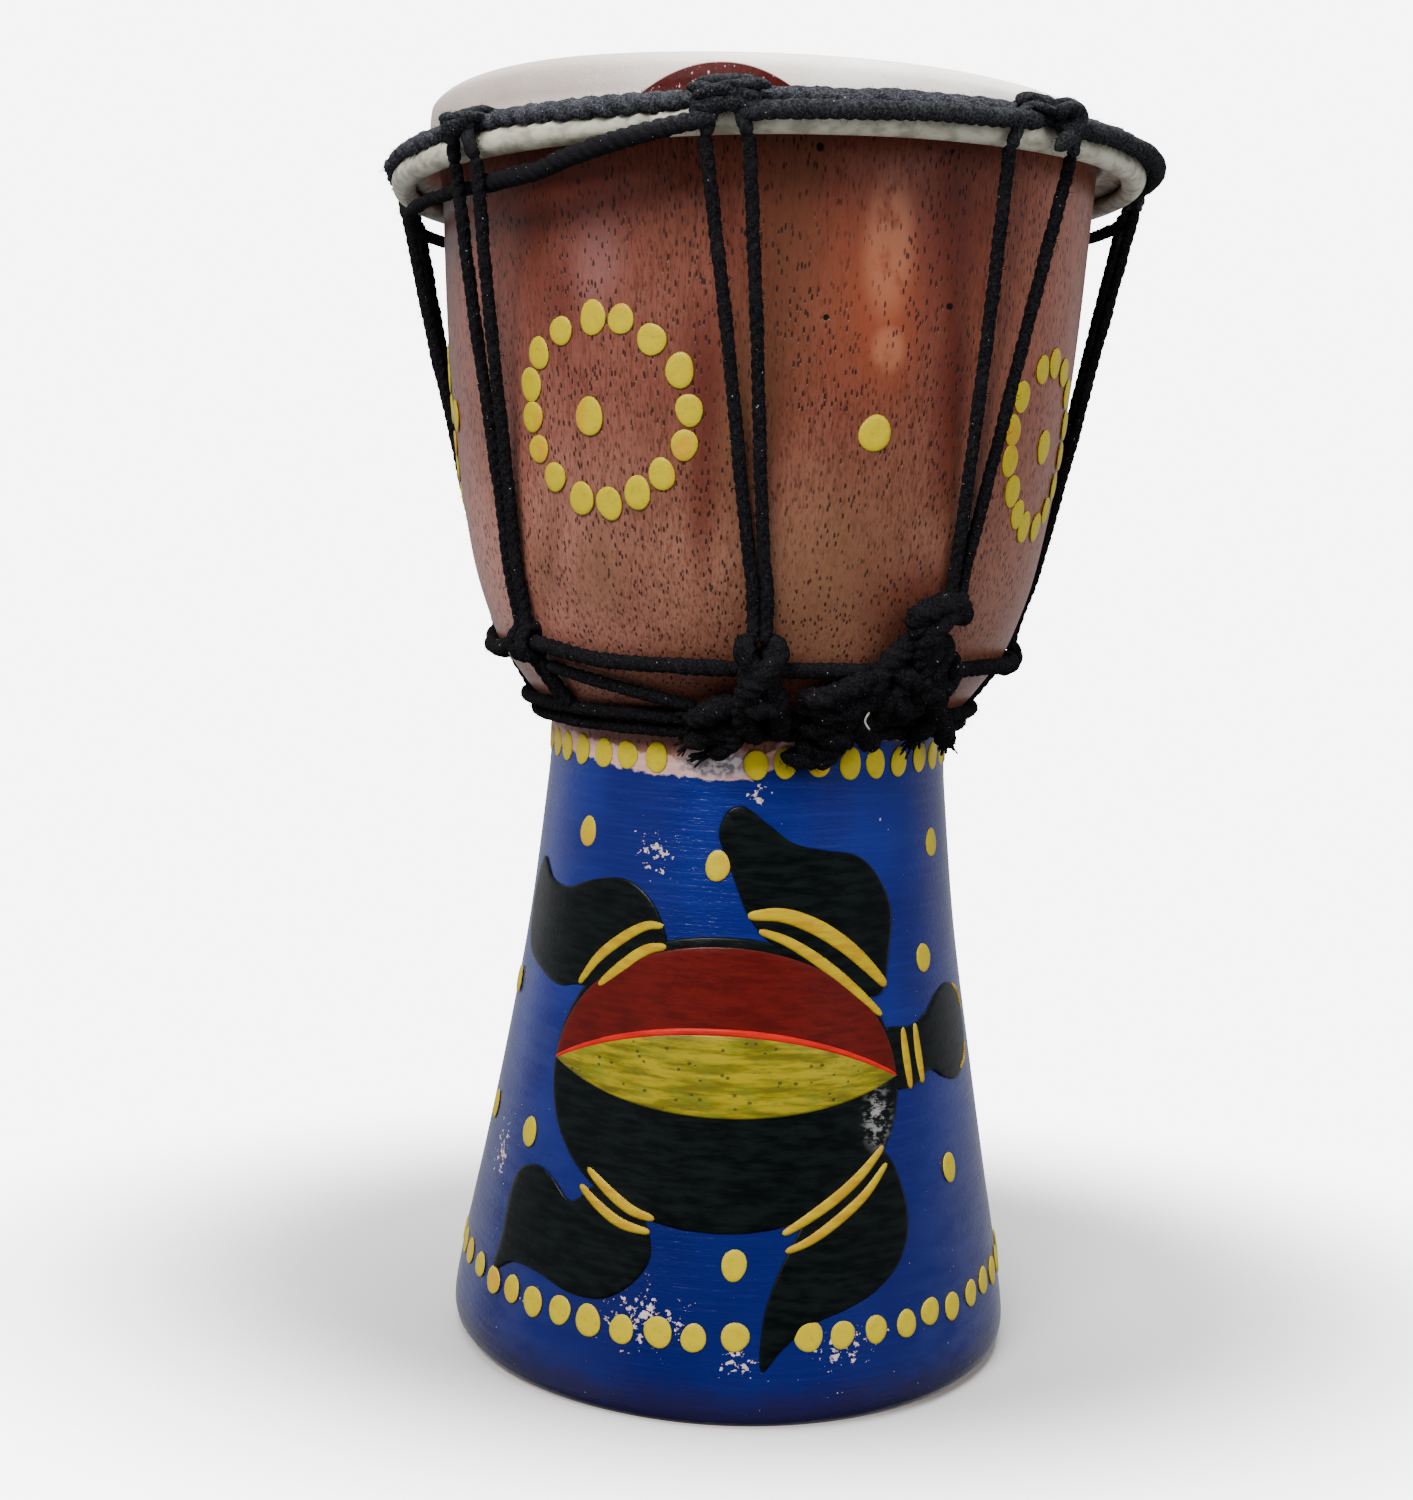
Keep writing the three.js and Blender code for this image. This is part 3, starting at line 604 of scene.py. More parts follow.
def add_camera():
    data = bpy.data.cameras.new("camera")
    data.sensor_fit = "AUTO"
    data.sensor_width = SENSOR_WIDTH
    data.lens = FOCAL_LENGTH
    data.clip_start = 0.01
    camera = add_to_scene("camera", data)
    turn = Matrix.Rotation(-CAMERA_YAW, 4, "Z") @ Matrix.Rotation(math.pi / 2 + CAMERA_PITCH, 4, "X")
    camera.matrix_world = Matrix.Translation(CAMERA_PLACE) @ turn @ Matrix.Rotation(CAMERA_ROLL, 4, "Z")
    bpy.context.scene.camera = camera


def add_light(name, place_m, target_m, size, power, colour=(1, 1, 1), glossy=True):
    data = bpy.data.lights.new(name, "AREA")
    data.shape = "DISK"
    data.size = size
    data.energy = power
    data.color = colour
    lamp = add_to_scene(name, data)
    aim = Vector(target_m) - Vector(place_m)
    lamp.rotation_euler = aim.to_track_quat("-Z", "Y").to_euler()
    lamp.location = place_m
    lamp.visible_glossy = glossy


def add_world():
    """A dim room with a broad window at each side, and an even white backdrop behind."""
    world = bpy.data.worlds.new("studio")
    world.use_nodes = True
    t = Nodes(world.node_tree)
    where = t.node("ShaderNodeTexCoord", {}, "Generated")
    x, y, z = (t.node("ShaderNodeSeparateXYZ", {0: where}, k) for k in range(3))
    windows = t.step(x, -0.55, -0.68) * LEFT_WINDOW + t.step(x, 0.6, 0.85) * RIGHT_WINDOW
    walls = t.between(t.step(y, 0.1, 0.9), ROOM, BACK_WALL) + t.step(z, 0.3, 0.9) * CEILING
    room = t.node("ShaderNodeBackground", {"Color": (0.95, 0.97, 1.0, 1), "Strength": windows + walls})
    # the paper below throws soft light up under the bowl
    to_matt = t.node("ShaderNodeLightPath", {}, "Is Diffuse Ray")
    below = t.step(z, 0.0, -0.2) * FLOOR_BOUNCE * to_matt
    bounce = t.node("ShaderNodeBackground", {"Strength": below})
    both = t.node("ShaderNodeAddShader", {0: room, 1: bounce})
    backdrop = t.node("ShaderNodeBackground", {"Color": (1, 1, 1, 1), "Strength": BACKDROP})
    seen = t.node("ShaderNodeLightPath", {}, "Is Camera Ray")
    mixed = t.node("ShaderNodeMixShader", {0: seen, 1: both, 2: backdrop})
    t.feed(t.tree.nodes["World Output"].inputs["Surface"], mixed)
    bpy.context.scene.world = world


def add_floor():
    """White paper that glows evenly away from the drum so that it runs into the backdrop; near the drum the
    glow fades out as a painted soft shadow.
    """
    columns = 96
    rings = place(angles_round(columns), np.array(FLOOR_RINGS)[:, None], 0)
    mesh = bpy.data.meshes.new("floor")
    faces = [face[::-1] for face in grid_faces(len(FLOOR_RINGS), columns)] + [list(range(columns))]
    mesh.from_pydata(rings.reshape(-1, 3).tolist(), [], faces)
    floor = add_to_scene("floor", mesh)
    s = Shader("white_paper", 1.0, Specular_IOR_Level=0.0, Emission_Color=(1, 1, 1, 1))
    # the painted soft shadow, where the glow fades out, is a wide oval that reaches further to the sides than
    # to the front
    oval_point = s.node("ShaderNodeMapping", {"Vector": s.point, "Scale": (0.56, 0.86, 1.0),
                                              "Location": (-0.003, -0.014, 0.0)})
    clear = s.step(s.length(oval_point), 0.042, 0.098)
    # the paper glows, and the glow falls to nothing near the drum: a painted shadow
    s.feed(s.out["Emission Strength"], clear * BACKDROP)
    mesh.materials.append(s.finish(s.blend(clear, (0.5, 0.5, 0.5), (0.0, 0.0, 0.0))))
    floor.visible_diffuse = False
    floor.visible_glossy = False


def add_lights():
    add_light("key", (-0.3, -0.62, 0.72), (0, 0, 0.12), 0.5, KEY, (1, 0.985, 0.96))
    add_light("fill", (0.62, -0.6, 0.42), (0, 0, 0.1), 0.6, FILL, (0.97, 0.98, 1), False)
    add_light("top", (0.02, 0.1, 0.95), (0, 0, 0.15), 0.6, TOP)


# --- Materials ---

# Places on the shell are angle, height, radii in x, y and z, and softness where it is their own.
# Stain on the wood, in the order it lies: share that shows, colour, places
STAINS = [
    (0.75, (0.17, 0.036, 0.013), [(18, 168, (13, 20, 24))]),
    (0.7, (0.098, 0.032, 0.014), [(4, 172, (8, 14, 32))]),
    (0.55, (0.14, 0.066, 0.031), [(12, 128, (16, 16, 22)), (-2, 150, (6, 9, 22)), (-30, 128, (7, 10, 12))]),
    (0.75, (0.09, 0.018, 0.012), [
        (-9, 156, (5, 8, 15)), (30, 176, (8, 12, 22)), (-34, 166, (5, 8, 12)), (-30, 181, (14, 14, 11)),
        (33, 156, (5, 8, 12)), (150, 165, (14, 20, 24)), (-130, 158, (12, 18, 22))]),
    (0.6, (0.2, 0.085, 0.078), [(-27, 171, (6, 9, 10))]),
    (0.7, (0.2, 0.038, 0.012), [(20, 166, (6.5, 9, 17))]),
]
PALE_STREAK = [(19.5, 173.5, (4.8, 6.5, 12.5)), (20.5, 160, (3.2, 5, 4.2))]
DARK_STAINS = [
    (33, 124, (15, 14, 14)), (-9, 140, (3.2, 6, 30)), (33, 150, (3.5, 6, 34)), (12, 109, (26, 14, 8), 0.8),
    (-40, 176, (6, 9, 24)), (-40, 103, (26, 26, 3.5), 0.7),
]
WORM_HOLES = [
    (31.2, 166.4, (0.8, 0.8, 0.6)), (10, 163.7, (0.55, 0.55, 0.5)), (7.8, 186.3, (0.7, 0.7, 0.8)),
    (29.4, 187.4, (0.5, 0.5, 0.4)), (122, 150, (0.6, 0.6, 0.6)), (-140, 171, (0.6, 0.6, 0.5)),
]
KNOCKS = [
    (-23, 85, (7, 8, 6)), (4, 95, (4, 5, 4)), (-17, 16, (14, 12, 9)), (2, 11, (6, 6, 5)),
    (22, 12, (10, 9, 6)), (-64, 33, (4, 7, 9)), (120, 60, (9, 9, 12)), (-150, 22, (10, 10, 9)),
]
# Middle of the wall at each height, both as shares of the drum's height
DRUM_HEIGHT = 0.2
WALL_MIDDLE = [
    (0.0, 0.203), (0.25, 0.165), (0.45, 0.14), (0.52, 0.14), (0.6, 0.19), (0.7, 0.225), (1.0, 0.248),
]
# Heights in metres between which the paint, and the primer above it, end at the neck
PAINT_EDGE, PRIMER_EDGE = (0.0992, 0.0987), (0.1023, 0.1016)
# A dark red scrap above the rope at the front, whose top edge is an arch, in metres
SCRAP_MIDDLE, SCRAP_HALF_WIDTH, SCRAP_TOP, SCRAP_RISE = -0.0067, 0.0098, 0.197, 0.0033


def wood_colour(s):
    """Stained mahogany: long fibres and patches of stain, with a painted sheen at the left, darker and redder
    towards the top partly as painted shade under the hoop.
    """
    patches = s.noise((26, 26, 40), 2.0, rough=0.55)
    base = s.blend(s.step(patches, 0.38, 0.62), (0.16, 0.063, 0.038), (0.236, 0.106, 0.068))
    height = s.z + patches * 0.02
    base = s.layered(base, [
        # painted sheen: the left side lighter and greyer, as the window at that side lights it, broken into
        # patches
        (s.step(s.x, -0.004, -0.04) * s.patches(0.25, 0.55, (14, 14, 30), 2.0), 0.9, (0.372, 0.158, 0.124)),
        # darker and redder towards the top: partly a darker varnish, partly painted shade under the hoop
        (s.step(height, 0.138, 0.165), 0.62, (0.124, 0.025, 0.014)),
        (s.step(height, 0.17, 0.192), 0.5, (0.108, 0.018, 0.009)),
        (s.step(s.x, 0.028, 0.046), 0.8, (0.27, 0.09, 0.056)),
    ])
    fibres = s.noise((0.5, 0.5, 9), rough=0.6)
    base = s.blend(s.step(fibres, 0.4, 0.75), base, (0.7, 0.62, 0.58), "MULTIPLY")
    flecks = s.noise((0.28, 0.28, 1.5), 2.0, (4, 7, 1), rough=0.6)
    base = s.blend(s.step(flecks, 0.48, 0.66), base, (0.62, 0.52, 0.46), "MULTIPLY")
    base = s.layered(base, [(s.spots(places), share, colour) for share, colour, places in STAINS])
    streak = s.spots(PALE_STREAK, 0.6) * s.patches(0.24, 0.5, (3.0, 3.0, 4.0))
    return s.layered(base, [(streak, 0.5, (0.34, 0.13, 0.066)),
                            (s.spots(DARK_STAINS), 0.7, (0.08, 0.015, 0.009))])


def wood_pores(s):
    """Short dashes along the grain, from 0 to 1."""
    thin_out = s.patches(0.3, 0.55, (9, 9, 14), 1.0, (3, 1, 2))
    dash = s.step(s.cells((0.6, 0.6, 1.9)), 0.32, 0.19)
    return dash * (thin_out * 0.55 + 0.45)


def blue_colour(s, streaks, chips):
    """Blue gloss paint, brushed round the foot, darker towards the bottom and at the rim, worn through in
    places, and lighter and greyer at both sides as a painted reflection of the windows.
    """
    patches = s.patches(0.35, 0.65, (20, 20, 26), 2.0)
    blue = s.blend(patches, (0.003, 0.0065, 0.1), (0.005, 0.013, 0.15))
    # painted reflection: both sides lighter and greyer, where the windows at the sides would reflect
    sides = s.most(s.step(s.x, -0.018, -0.04), s.step(s.x, 0.022, 0.04))
    # darker at the bottom rim
    rim = s.step(s.z + s.noise((5, 5, 2)) * 0.006, 0.0125, 0.005)
    pale = s.blend(s.noise(0.8, 2.0), (0.4, 0.27, 0.27), (0.62, 0.5, 0.49))
    return s.layered(blue, [
        (s.step(streaks, 0.45, 0.75), 0.3, (0.012, 0.028, 0.19)),
        # darker towards the bottom of the foot
        (s.step(s.z, 0.055, 0.025), 0.7, (0.002, 0.0045, 0.066)),
        # the painted reflection of the windows at the sides
        (sides * s.patches(0.3, 0.7, (7, 7, 3.0)), 0.3, (0.04, 0.05, 0.17)),
        (rim, 0.85, (0.011, 0.008, 0.032)),
        (chips, 1, pale),
        (scuff(s), 0.8, (0.42, 0.44, 0.52)),
    ])


def primer_colour(s, bare):
    """Pale primer above the paint, and the grey wood where it has come away."""
    primer = s.blend(s.noise((3, 3, 0.6)), (0.34, 0.17, 0.155), (0.66, 0.4, 0.37))
    grey = s.blend(s.patches(0.42, 0.58, (1.3, 1.3, 1.0)), (0.16, 0.14, 0.17), (0.5, 0.43, 0.42))
    return s.blend(bare, primer, grey)


def shell_material():
    """Varnished wood above, a ragged edge of primer, and worn blue gloss paint on the foot."""
    s = Shader("shell_finish", 0.4, Specular_IOR_Level=0.3)
    pores = wood_pores(s)
    holes = s.spots(WORM_HOLES, 0.35)
    pits = [(pores, 0.88, (0.02, 0.006, 0.005)), (holes, 1, (0.006, 0.003, 0.002))]
    wood = s.layered(wood_colour(s), pits)

    # where the paint ends at the neck: a brush line that falls at the front, and a bare patch
    bare = s.spots([(-8.5, 99.2, (8, 9, 3.2))], 0.6)
    broken = (s.noise((2.6, 2.6, 2.0), 4.0, (1, 1, 4), 0.7) - 0.5) * 0.007 + 0.0012
    edge = s.z + (s.noise((1.6, 1.6, 1.2)) - 0.5) * 0.0022
    edge = edge + s.step(s.x, -0.034, -0.012) * s.step(s.x, 0.012, 0.0) * 0.0022
    edge = edge - s.step(s.x, 0.0, 0.01) * 0.0036 + bare * broken
    painted = s.step(edge, *PAINT_EDGE)
    primer = s.most(s.step(edge, *PRIMER_EDGE), bare)

    # small chips through to the pale primer, thickest at a few knocks
    fine = s.noise((1.15, 1.15, 1.0), 3.0, (5, 2, 8), rough=0.65)
    chips = s.step(fine + s.spots(KNOCKS, 0.95) * 0.19, 0.725, 0.745)
    streaks = s.noise((14, 14, 0.8), rough=0.62)
    colour = s.blend(primer, wood, primer_colour(s, bare))
    colour = s.blend(painted, colour, blue_colour(s, streaks, chips))

    # the hollow inside is raw wood, with dust on it
    inside = s.most(inside_mask(s), s.step(s.z, 0.0012, 0.0004))
    raw = s.blend(s.noise((1.2, 1.2, 12)), (0.2, 0.1, 0.055), (0.42, 0.25, 0.15))
    colour = s.blend(inside, colour, raw)

    covered = painted * (1.0 - inside)
    rough = s.between(covered, 0.34, 0.17)
    rough = s.between(s.noise((5, 5, 2)) * 0.5, rough, 0.45)
    rough = s.between(s.most(chips, inside, primer - painted), rough, 0.8)
    peel = streaks + s.noise((0.9, 0.9, 0.45), 2.0) * 0.5
    relief = s.bump(peel * covered - chips * 0.7 + painted, 0.14)
    grain = (pores + holes) * (1.0 - covered)
    return s.finish(colour, rough, s.bump(1.0 - grain, 0.09, relief))


def inside_mask(s):
    """1 on the hollow inside: nearer the axis than the middle of the wall."""
    curve = s.tree.nodes.new("ShaderNodeFloatCurve")
    points = curve.mapping.curves[0].points
    # a new curve has two points
    for i, spot in enumerate(WALL_MIDDLE):
        if i < 2:
            points[i].location = spot
        else:
            points.new(*spot)
    curve.mapping.update()
    s.feed(curve.inputs["Value"], s.z * (1 / DRUM_HEIGHT))
    radial = s.length(s.node("ShaderNodeVectorMath", {0: s.point, 1: (1, 1, 0)}, operation="MULTIPLY"))
    return s.step(Value(s, curve.outputs[0]) * DRUM_HEIGHT - radial, -0.0005, 0.0005)


def skin_material():
    """Raw hide, grey with dust and painted shade where it is lapped under the rope, with painted shade at the
    left and down the collar, and a dark red scrap with painted glints.
    """
    s = Shader("raw_hide", 0.55, Subsurface_Weight=0.12, Subsurface_Scale=0.002)
    cloudy = s.noise((16, 16, 9), rough=0.6)
    colour = s.blend(s.step(cloudy, 0.35, 0.68), (0.86, 0.8, 0.75), (0.78, 0.7, 0.63))
    # the lap: grey-green dust on the hide, and painted shade under the rope and hoop
    lap = s.blend(s.patches(0.4, 0.65, (3, 3, 1.6)), (0.5, 0.49, 0.39), (0.3, 0.285, 0.22))
    colour = s.layered(colour, [
        # painted shade: the left of the head darker
        (s.step(s.x, 0.016, -0.03), 0.8, (0.36, 0.29, 0.26)),
        # painted shade: the collar darker below the top of the head
        (s.step(s.z, 0.1985, 0.1925), 0.15, (0.6, 0.53, 0.47)),
        # dust and painted shade on the lap under the rope
        (s.step(s.z - s.x * HOOP_LEAN, 0.1918, 0.1902), 1, lap),
        (s.patches(0.68, 0.74, 0.5, 2.0), 0.35, (0.33, 0.22, 0.14)),
    ])
    aside = (s.x - SCRAP_MIDDLE) * (1 / SCRAP_HALF_WIDTH)
    arch = aside * aside * -SCRAP_RISE + SCRAP_TOP
    front = s.step(s.y, 0.0, -0.01) * s.step(s.z, 0.1922, 0.1926)
    red = s.step(arch - s.z, -0.0001, 0.0002) * front
    scrap = s.blend(s.noise(1.2), (0.022, 0.003, 0.0028), (0.075, 0.008, 0.007))
    # painted highlights: pale glints painted into the glossy scrap's colour
    painted_glints = s.patches(0.67, 0.71, (0.45, 0.45, 0.7), 2.0, (3, 8, 1))
    colour = s.blend(red, colour, s.blend(painted_glints, scrap, (0.5, 0.38, 0.36)))
    s.feed(s.out["Specular IOR Level"], s.between(red, 0.5, 0.04))
    wrinkles = s.noise((1.4, 1.4, 5), rough=0.6) + s.noise(0.35, 2.0) * 0.35
    return s.finish(colour, s.between(red, 0.55, 0.4), s.bump(wrinkles, 0.16))


def cord_material(name, dark, dust_and_sheen, speckle, below_hoop=None):
    """Matt black cotton: fibres lighter in places, partly with dust that sits on them and partly with painted
    sheen where they would catch a little light.

    Below the hoop the cord has this darker colour, if one is given.
    """
    s = Shader(name, 0.95, Specular_IOR_Level=0.08)
    fibres = s.noise(0.34, 4.0, rough=0.75)
    # lighter fibres and patches: partly dust, partly painted sheen
    colour = s.blend(s.step(fibres, 0.42, 0.66), dark, dust_and_sheen)
    colour = s.blend(s.patches(0.5, 0.75, 3.5) * 0.4, colour, dust_and_sheen)
    if below_hoop:
        colour = s.blend(s.step(s.z, 0.1885, 0.185), colour, below_hoop)
    lint = s.step(s.noise(0.5, 1.0, (9, 4, 1)), speckle, speckle + 0.03)
    return s.finish(s.blend(lint, colour, (0.32, 0.33, 0.34)), None, s.bump(fibres, 0.4))


def paint_material(name, first, second, roughness, relief=0.06):
    """Brushed gloss paint in one colour, uneven in depth and tone."""
    s = Shader(name, roughness, Specular_IOR_Level=0.14)
    streaks = s.noise((5, 5, 1.1), rough=0.62)
    colour = s.blend(s.step(streaks, 0.35, 0.68), first, second)
    colour = s.blend(scuff(s) * 0.8, colour, (0.3, 0.3, 0.29))
    mottle = s.noise(1.2)
    rough = s.step(mottle, -0.6, 2.2) * 0.25 + (roughness - 0.06)
    orange_peel = s.noise((0.9, 0.9, 0.45), 2.0, (1, 3, 2))
    return s.finish(colour, rough, s.bump(streaks + (mottle + orange_peel) * 0.5, relief))


def scuff(s):
    """A pale scuff where the foot was knocked, at the right end of the painted back."""
    spot = s.spots([(33.5, 45.5, (3.4, 6, 6.5))], 0.95)
    return spot * s.patches(0.47, 0.6, (1.6, 1.6, 0.9), 4.0, (3, 1, 5), 0.65)


def dot_material():
    """Thick yellow paint, here and there more orange."""
    s = Shader("yellow_dots", 0.42, Specular_IOR_Level=0.25)
    colour = s.blend(s.patches(0.58, 0.68, 9, 1.0), (0.45, 0.345, 0.002), (0.47, 0.27, 0.006))
    colour = s.blend(s.patches(0.5, 0.75, 0.9) * 0.45, colour, (0.3, 0.22, 0.003))
    return s.finish(colour, None, s.bump(s.noise(0.5), 0.06))


def lens_material():
    """The mottled yellow-green of the figure's back, with pits and darker brush marks."""
    s = Shader("yellow_green_paint", 0.38, Specular_IOR_Level=0.25)
    strokes = s.noise((9, 9, 1.3), 4.0, rough=0.65)
    colour = s.blend(s.step(strokes, 0.36, 0.62), (0.1, 0.086, 0.004), (0.27, 0.215, 0.003))
    green = s.patches(0.5, 0.68, (3.5, 3.5, 1.6), 3.0, (2, 5, 1))
    pits = s.step(s.cells((2.0, 2.0, 1.6)), 0.19, 0.12)
    colour = s.layered(colour, [(green, 0.55, (0.12, 0.14, 0.012)), (pits, 0.75, (0.03, 0.03, 0.008))])
    return s.finish(colour, None, s.bump(strokes - pits * 0.8, 0.12))


def wire_material():
    s = Shader("drawn_wire", 0.4, Metallic=1.0)
    drawn = s.noise(0.2)
    return s.finish(s.blend(drawn, (0.3, 0.29, 0.27), (0.55, 0.54, 0.51)), None, s.bump(drawn, 0.02))


add_camera()
add_world()
add_floor()
add_lights()
finish_shell = shell_material()
finish_skin = skin_material()
finish_cord = cord_material("black_cord", (0.0028, 0.0025, 0.0032), (0.0165, 0.015, 0.018), 0.77)
finish_tie = cord_material("dust_and_sheen_cord", (0.0065, 0.0068, 0.008), (0.044, 0.047, 0.054), 0.76,
                           below_hoop=(0.01, 0.009, 0.011))
finish_rope = cord_material("black_rope", (0.0085, 0.009, 0.0115), (0.064, 0.067, 0.08), 0.74)
finish_thread = cord_material("pale_thread", (0.42, 0.38, 0.33), (0.62, 0.58, 0.52), 0.9)
finish_dots = dot_material()
finish_lens = lens_material()
finish_black = paint_material("black_paint", (0.0014, 0.0022, 0.0022), (0.0038, 0.006, 0.006), 0.3)
finish_dark_red = paint_material("dark_red_paint", (0.088, 0.006, 0.0045), (0.058, 0.0042, 0.0035), 0.28)
finish_red = paint_material("red_paint", (0.5, 0.007, 0.004), (0.36, 0.006, 0.004), 0.35)
finish_yellow = paint_material("yellow_paint", (0.4, 0.285, 0.003), (0.34, 0.185, 0.005), 0.4, 0.08)


# --- Shell and drumhead ---

SHELL_COLUMNS, SKIN_COLUMNS = 288, 360
PROUD, WORN = 1.3, 1.1          # how far the rim stands out at the left, and is worn at the front


def build_shell():
    section = evenly(smooth_line(shell_section, closed=True, steps=10), 1.5, closed=True)
    section[:, 1] = np.maximum(section[:, 1], 0)
    points = turned(section, SHELL_COLUMNS)
    # hand finishing leaves the outside a little off round
    angle = np.radians(angles_round(SHELL_COLUMNS))
    height = points[..., 2]
    waver = 0.1 * np.sin(3 * angle + height / 21) + 0.07 * np.sin(7 * angle - height / 13)
    outside = (section[:, 0] > shell_radius(section[:, 1]) - 0.4)[:, None]
    free = ramp(height, 197, 191) * ramp(height, 0, 3)
    points[..., :2] *= (1 + np.where(outside, (waver - 0.17) * free, 0) / radius_of(points))[..., None]
    points = settle_head(points).reshape(-1, 3)
    faces = grid_faces(len(section), SHELL_COLUMNS, close_rows=True)
    add_piece("shell_body", (points, faces), finish_shell, "wood", "shell")


def settle_head(points):
    """The rim has worn round at the front, and stands a little proud at the left."""
    points = np.array(points, float)
    angle = angle_of(points)
    radius = np.maximum(radius_of(points), 1e-6)
    high = ramp(points[..., 2], 186, 196)
    inner = ramp(radius, 54.5, 52.5) * ramp(radius, 30, 50)
    points[..., :2] *= (1 + PROUD * hump(angle, -88, 34) * high * inner / radius)[..., None]
    edge = ramp(radius, 34, 49) ** 2 * ramp(radius, 55, 53)
    points[..., 2] -= WORN * hump(angle, 30, 62, 4) * high * edge
    return points


def build_skin():
    line = meridian("drumhead_skin")
    if line[0][1] > line[-1][1]:
        line = line[::-1]
    fine = evenly(smooth_line(line, steps=8), 0.5)
    fine = fine[fine[:, 0] > 6]
    points = turned(fine, SKIN_COLUMNS)
    angle = angles_round(SKIN_COLUMNS)
    radius = radius_of(points)
    height = points[..., 2]
    local = np.random.default_rng(3)
    # the collar is drawn into shallow folds, deepest beside each hitch
    folds = smooth_noise(local, SKIN_COLUMNS, 5, True) * 0.16
    for at, _, _ in HITCHES:
        folds = folds - 0.22 * hump(wrapped(angle - at), 0, 4.5)
    collar = ramp(height, 197.5, 194.5) * ramp(radius, 56.2, 54.7)
    uneven = smooth_noise(local, SKIN_COLUMNS, 9, True) * 0.14
    lap = ramp(np.hypot(radius - HOOP_RADIUS, height - HOOP_HEIGHT), 4.2, 2.7)
    points[..., :2] *= (1 + (folds * collar + np.minimum(uneven, 0.05) * lap) / radius)[..., None]
    points[..., 2] += smooth_noise(local, SKIN_COLUMNS, 14, True) * 0.1 * collar
    # the cut edge of the lap is ragged
    edge = hump(radius, 55.9, 0.6) * (height < HOOP_HEIGHT + 0.6)
    points[..., 2] += 0.45 * smooth_noise(local, SKIN_COLUMNS, 3, True) * edge
    mesh = closed_grid(settle_head(lean(points)), [0, 0, fine[0][1]], [0, 0, fine[-1][1]])
    add_piece("skin_head", mesh, finish_skin, "skin", "drumhead_skin")


def finish_flesh_hoop():
    materials = nodes["flesh_hoop"].data.materials
    materials.clear()
    materials.append(wire_material())


# --- Cords ---

def add_cord(name, replaced, line, size=CORD_SIZE, material=finish_cord, hairs=2.5, closed=False, **options):
    """A strand as one piece, leaned with the hoop."""
    line = lean(line)
    parts = [twisted(line, size, len(name) * 7, closed=closed, **options), fuzz(line, size, hairs, len(name))]
    return add_piece(name, joined(parts), material, "cord", replaced)


def ring_line(radius, height):
    """A ring of cord whose radius and height are numbers or depend on the angle."""
    angle = wrapped(angles_round(720))
    radius, height = (value(angle) if callable(value) else value for value in (radius, height))
    return place(angle, radius, height)


def build_crown_rope():
    piece = add_cord("crown_rope_twist", "crown_rope", ring_line(ROPE_RADIUS, ROPE_HEIGHT), ROPE_SIZE,
                     finish_rope, 6.0, closed=True, pitch=9.5, sides=26, rough=2.2)
    # the rope is pinched at each hitch and stands full between them
    points = np.array([v.co for v in piece.data.vertices]) / MM
    angle = angle_of(points)
    away = np.min([np.abs(wrapped(angle - at)) for at, _, _ in HITCHES], axis=0)
    full = 1 + 0.2 * ramp(away, 3, 10)[:, None]
    centre = lean(place(angle, ROPE_RADIUS, ROPE_HEIGHT))
    points = centre + (points - centre) * full
    # its outer side sags outwards and down over the hoop
    outward = place(angle, 1, -1) / math.sqrt(2)
    reach = np.maximum(np.sum((points - centre) * outward, axis=1), 0)[:, None]
    points = press_down(points + 0.8 * reach * outward) * MM
    piece.data.vertices.foreach_set("co", points.ravel())
    piece.data.update()


def rope_line(at, spots):
    """A curve through spots in millimetres along, out from and above the middle of the rope."""
    return lean(smooth_line([
        place(at + along / HOOP_DEGREE, ROPE_RADIUS + out, ROPE_HEIGHT + up) for along, out, up in spots]))


def build_hitches():
    side = CORD_SIZE / 2 + 0.05
    for i, (at, spread, _) in enumerate(HITCHES):
        opening = (0.5, 0.85) if i == SIDE else (0.05, 0.4)
        # share of the spread, out from and above the middle of the rope
        stops = [(0, -2.6, -1), (0, -2.6, 0.9), (0, -1.6, 2.2), (0, 0.2, 2.7), (0, 2.1, 2.0),
                 (opening[0], 3.1, 0.1), (opening[1], 3.6, -3.4), (1, 2.75, -6.9)]
        apart = spread * HOOP_DEGREE - side
        parts = []
        for sign in (-1, 1):
            line = rope_line(at, [(sign * (side + apart * share), out, up) for share, out, up in stops])
            parts += [twisted(line, CORD_SIZE, i, taper=0.5), fuzz(line, CORD_SIZE, 3.0, i)]
        for k, spots in enumerate([HITCH_BIGHT] + HITCH_LUMPS.get(i, [])):
            line = rope_line(at, spots)
            size = KNOT_SIZE if k else CORD_SIZE
            parts.append(twisted(line, size, 30 + k, pitch=7.5, taper=0.7, rough=1.8))
            parts.append(fuzz(line, size, 7.0, 60 + k))
        points, faces = joined(parts)
        add_piece(f"hitch_strands_{i + 1}", (press_down(points), faces), finish_tie, "cord", f"hitch_{i + 1}")


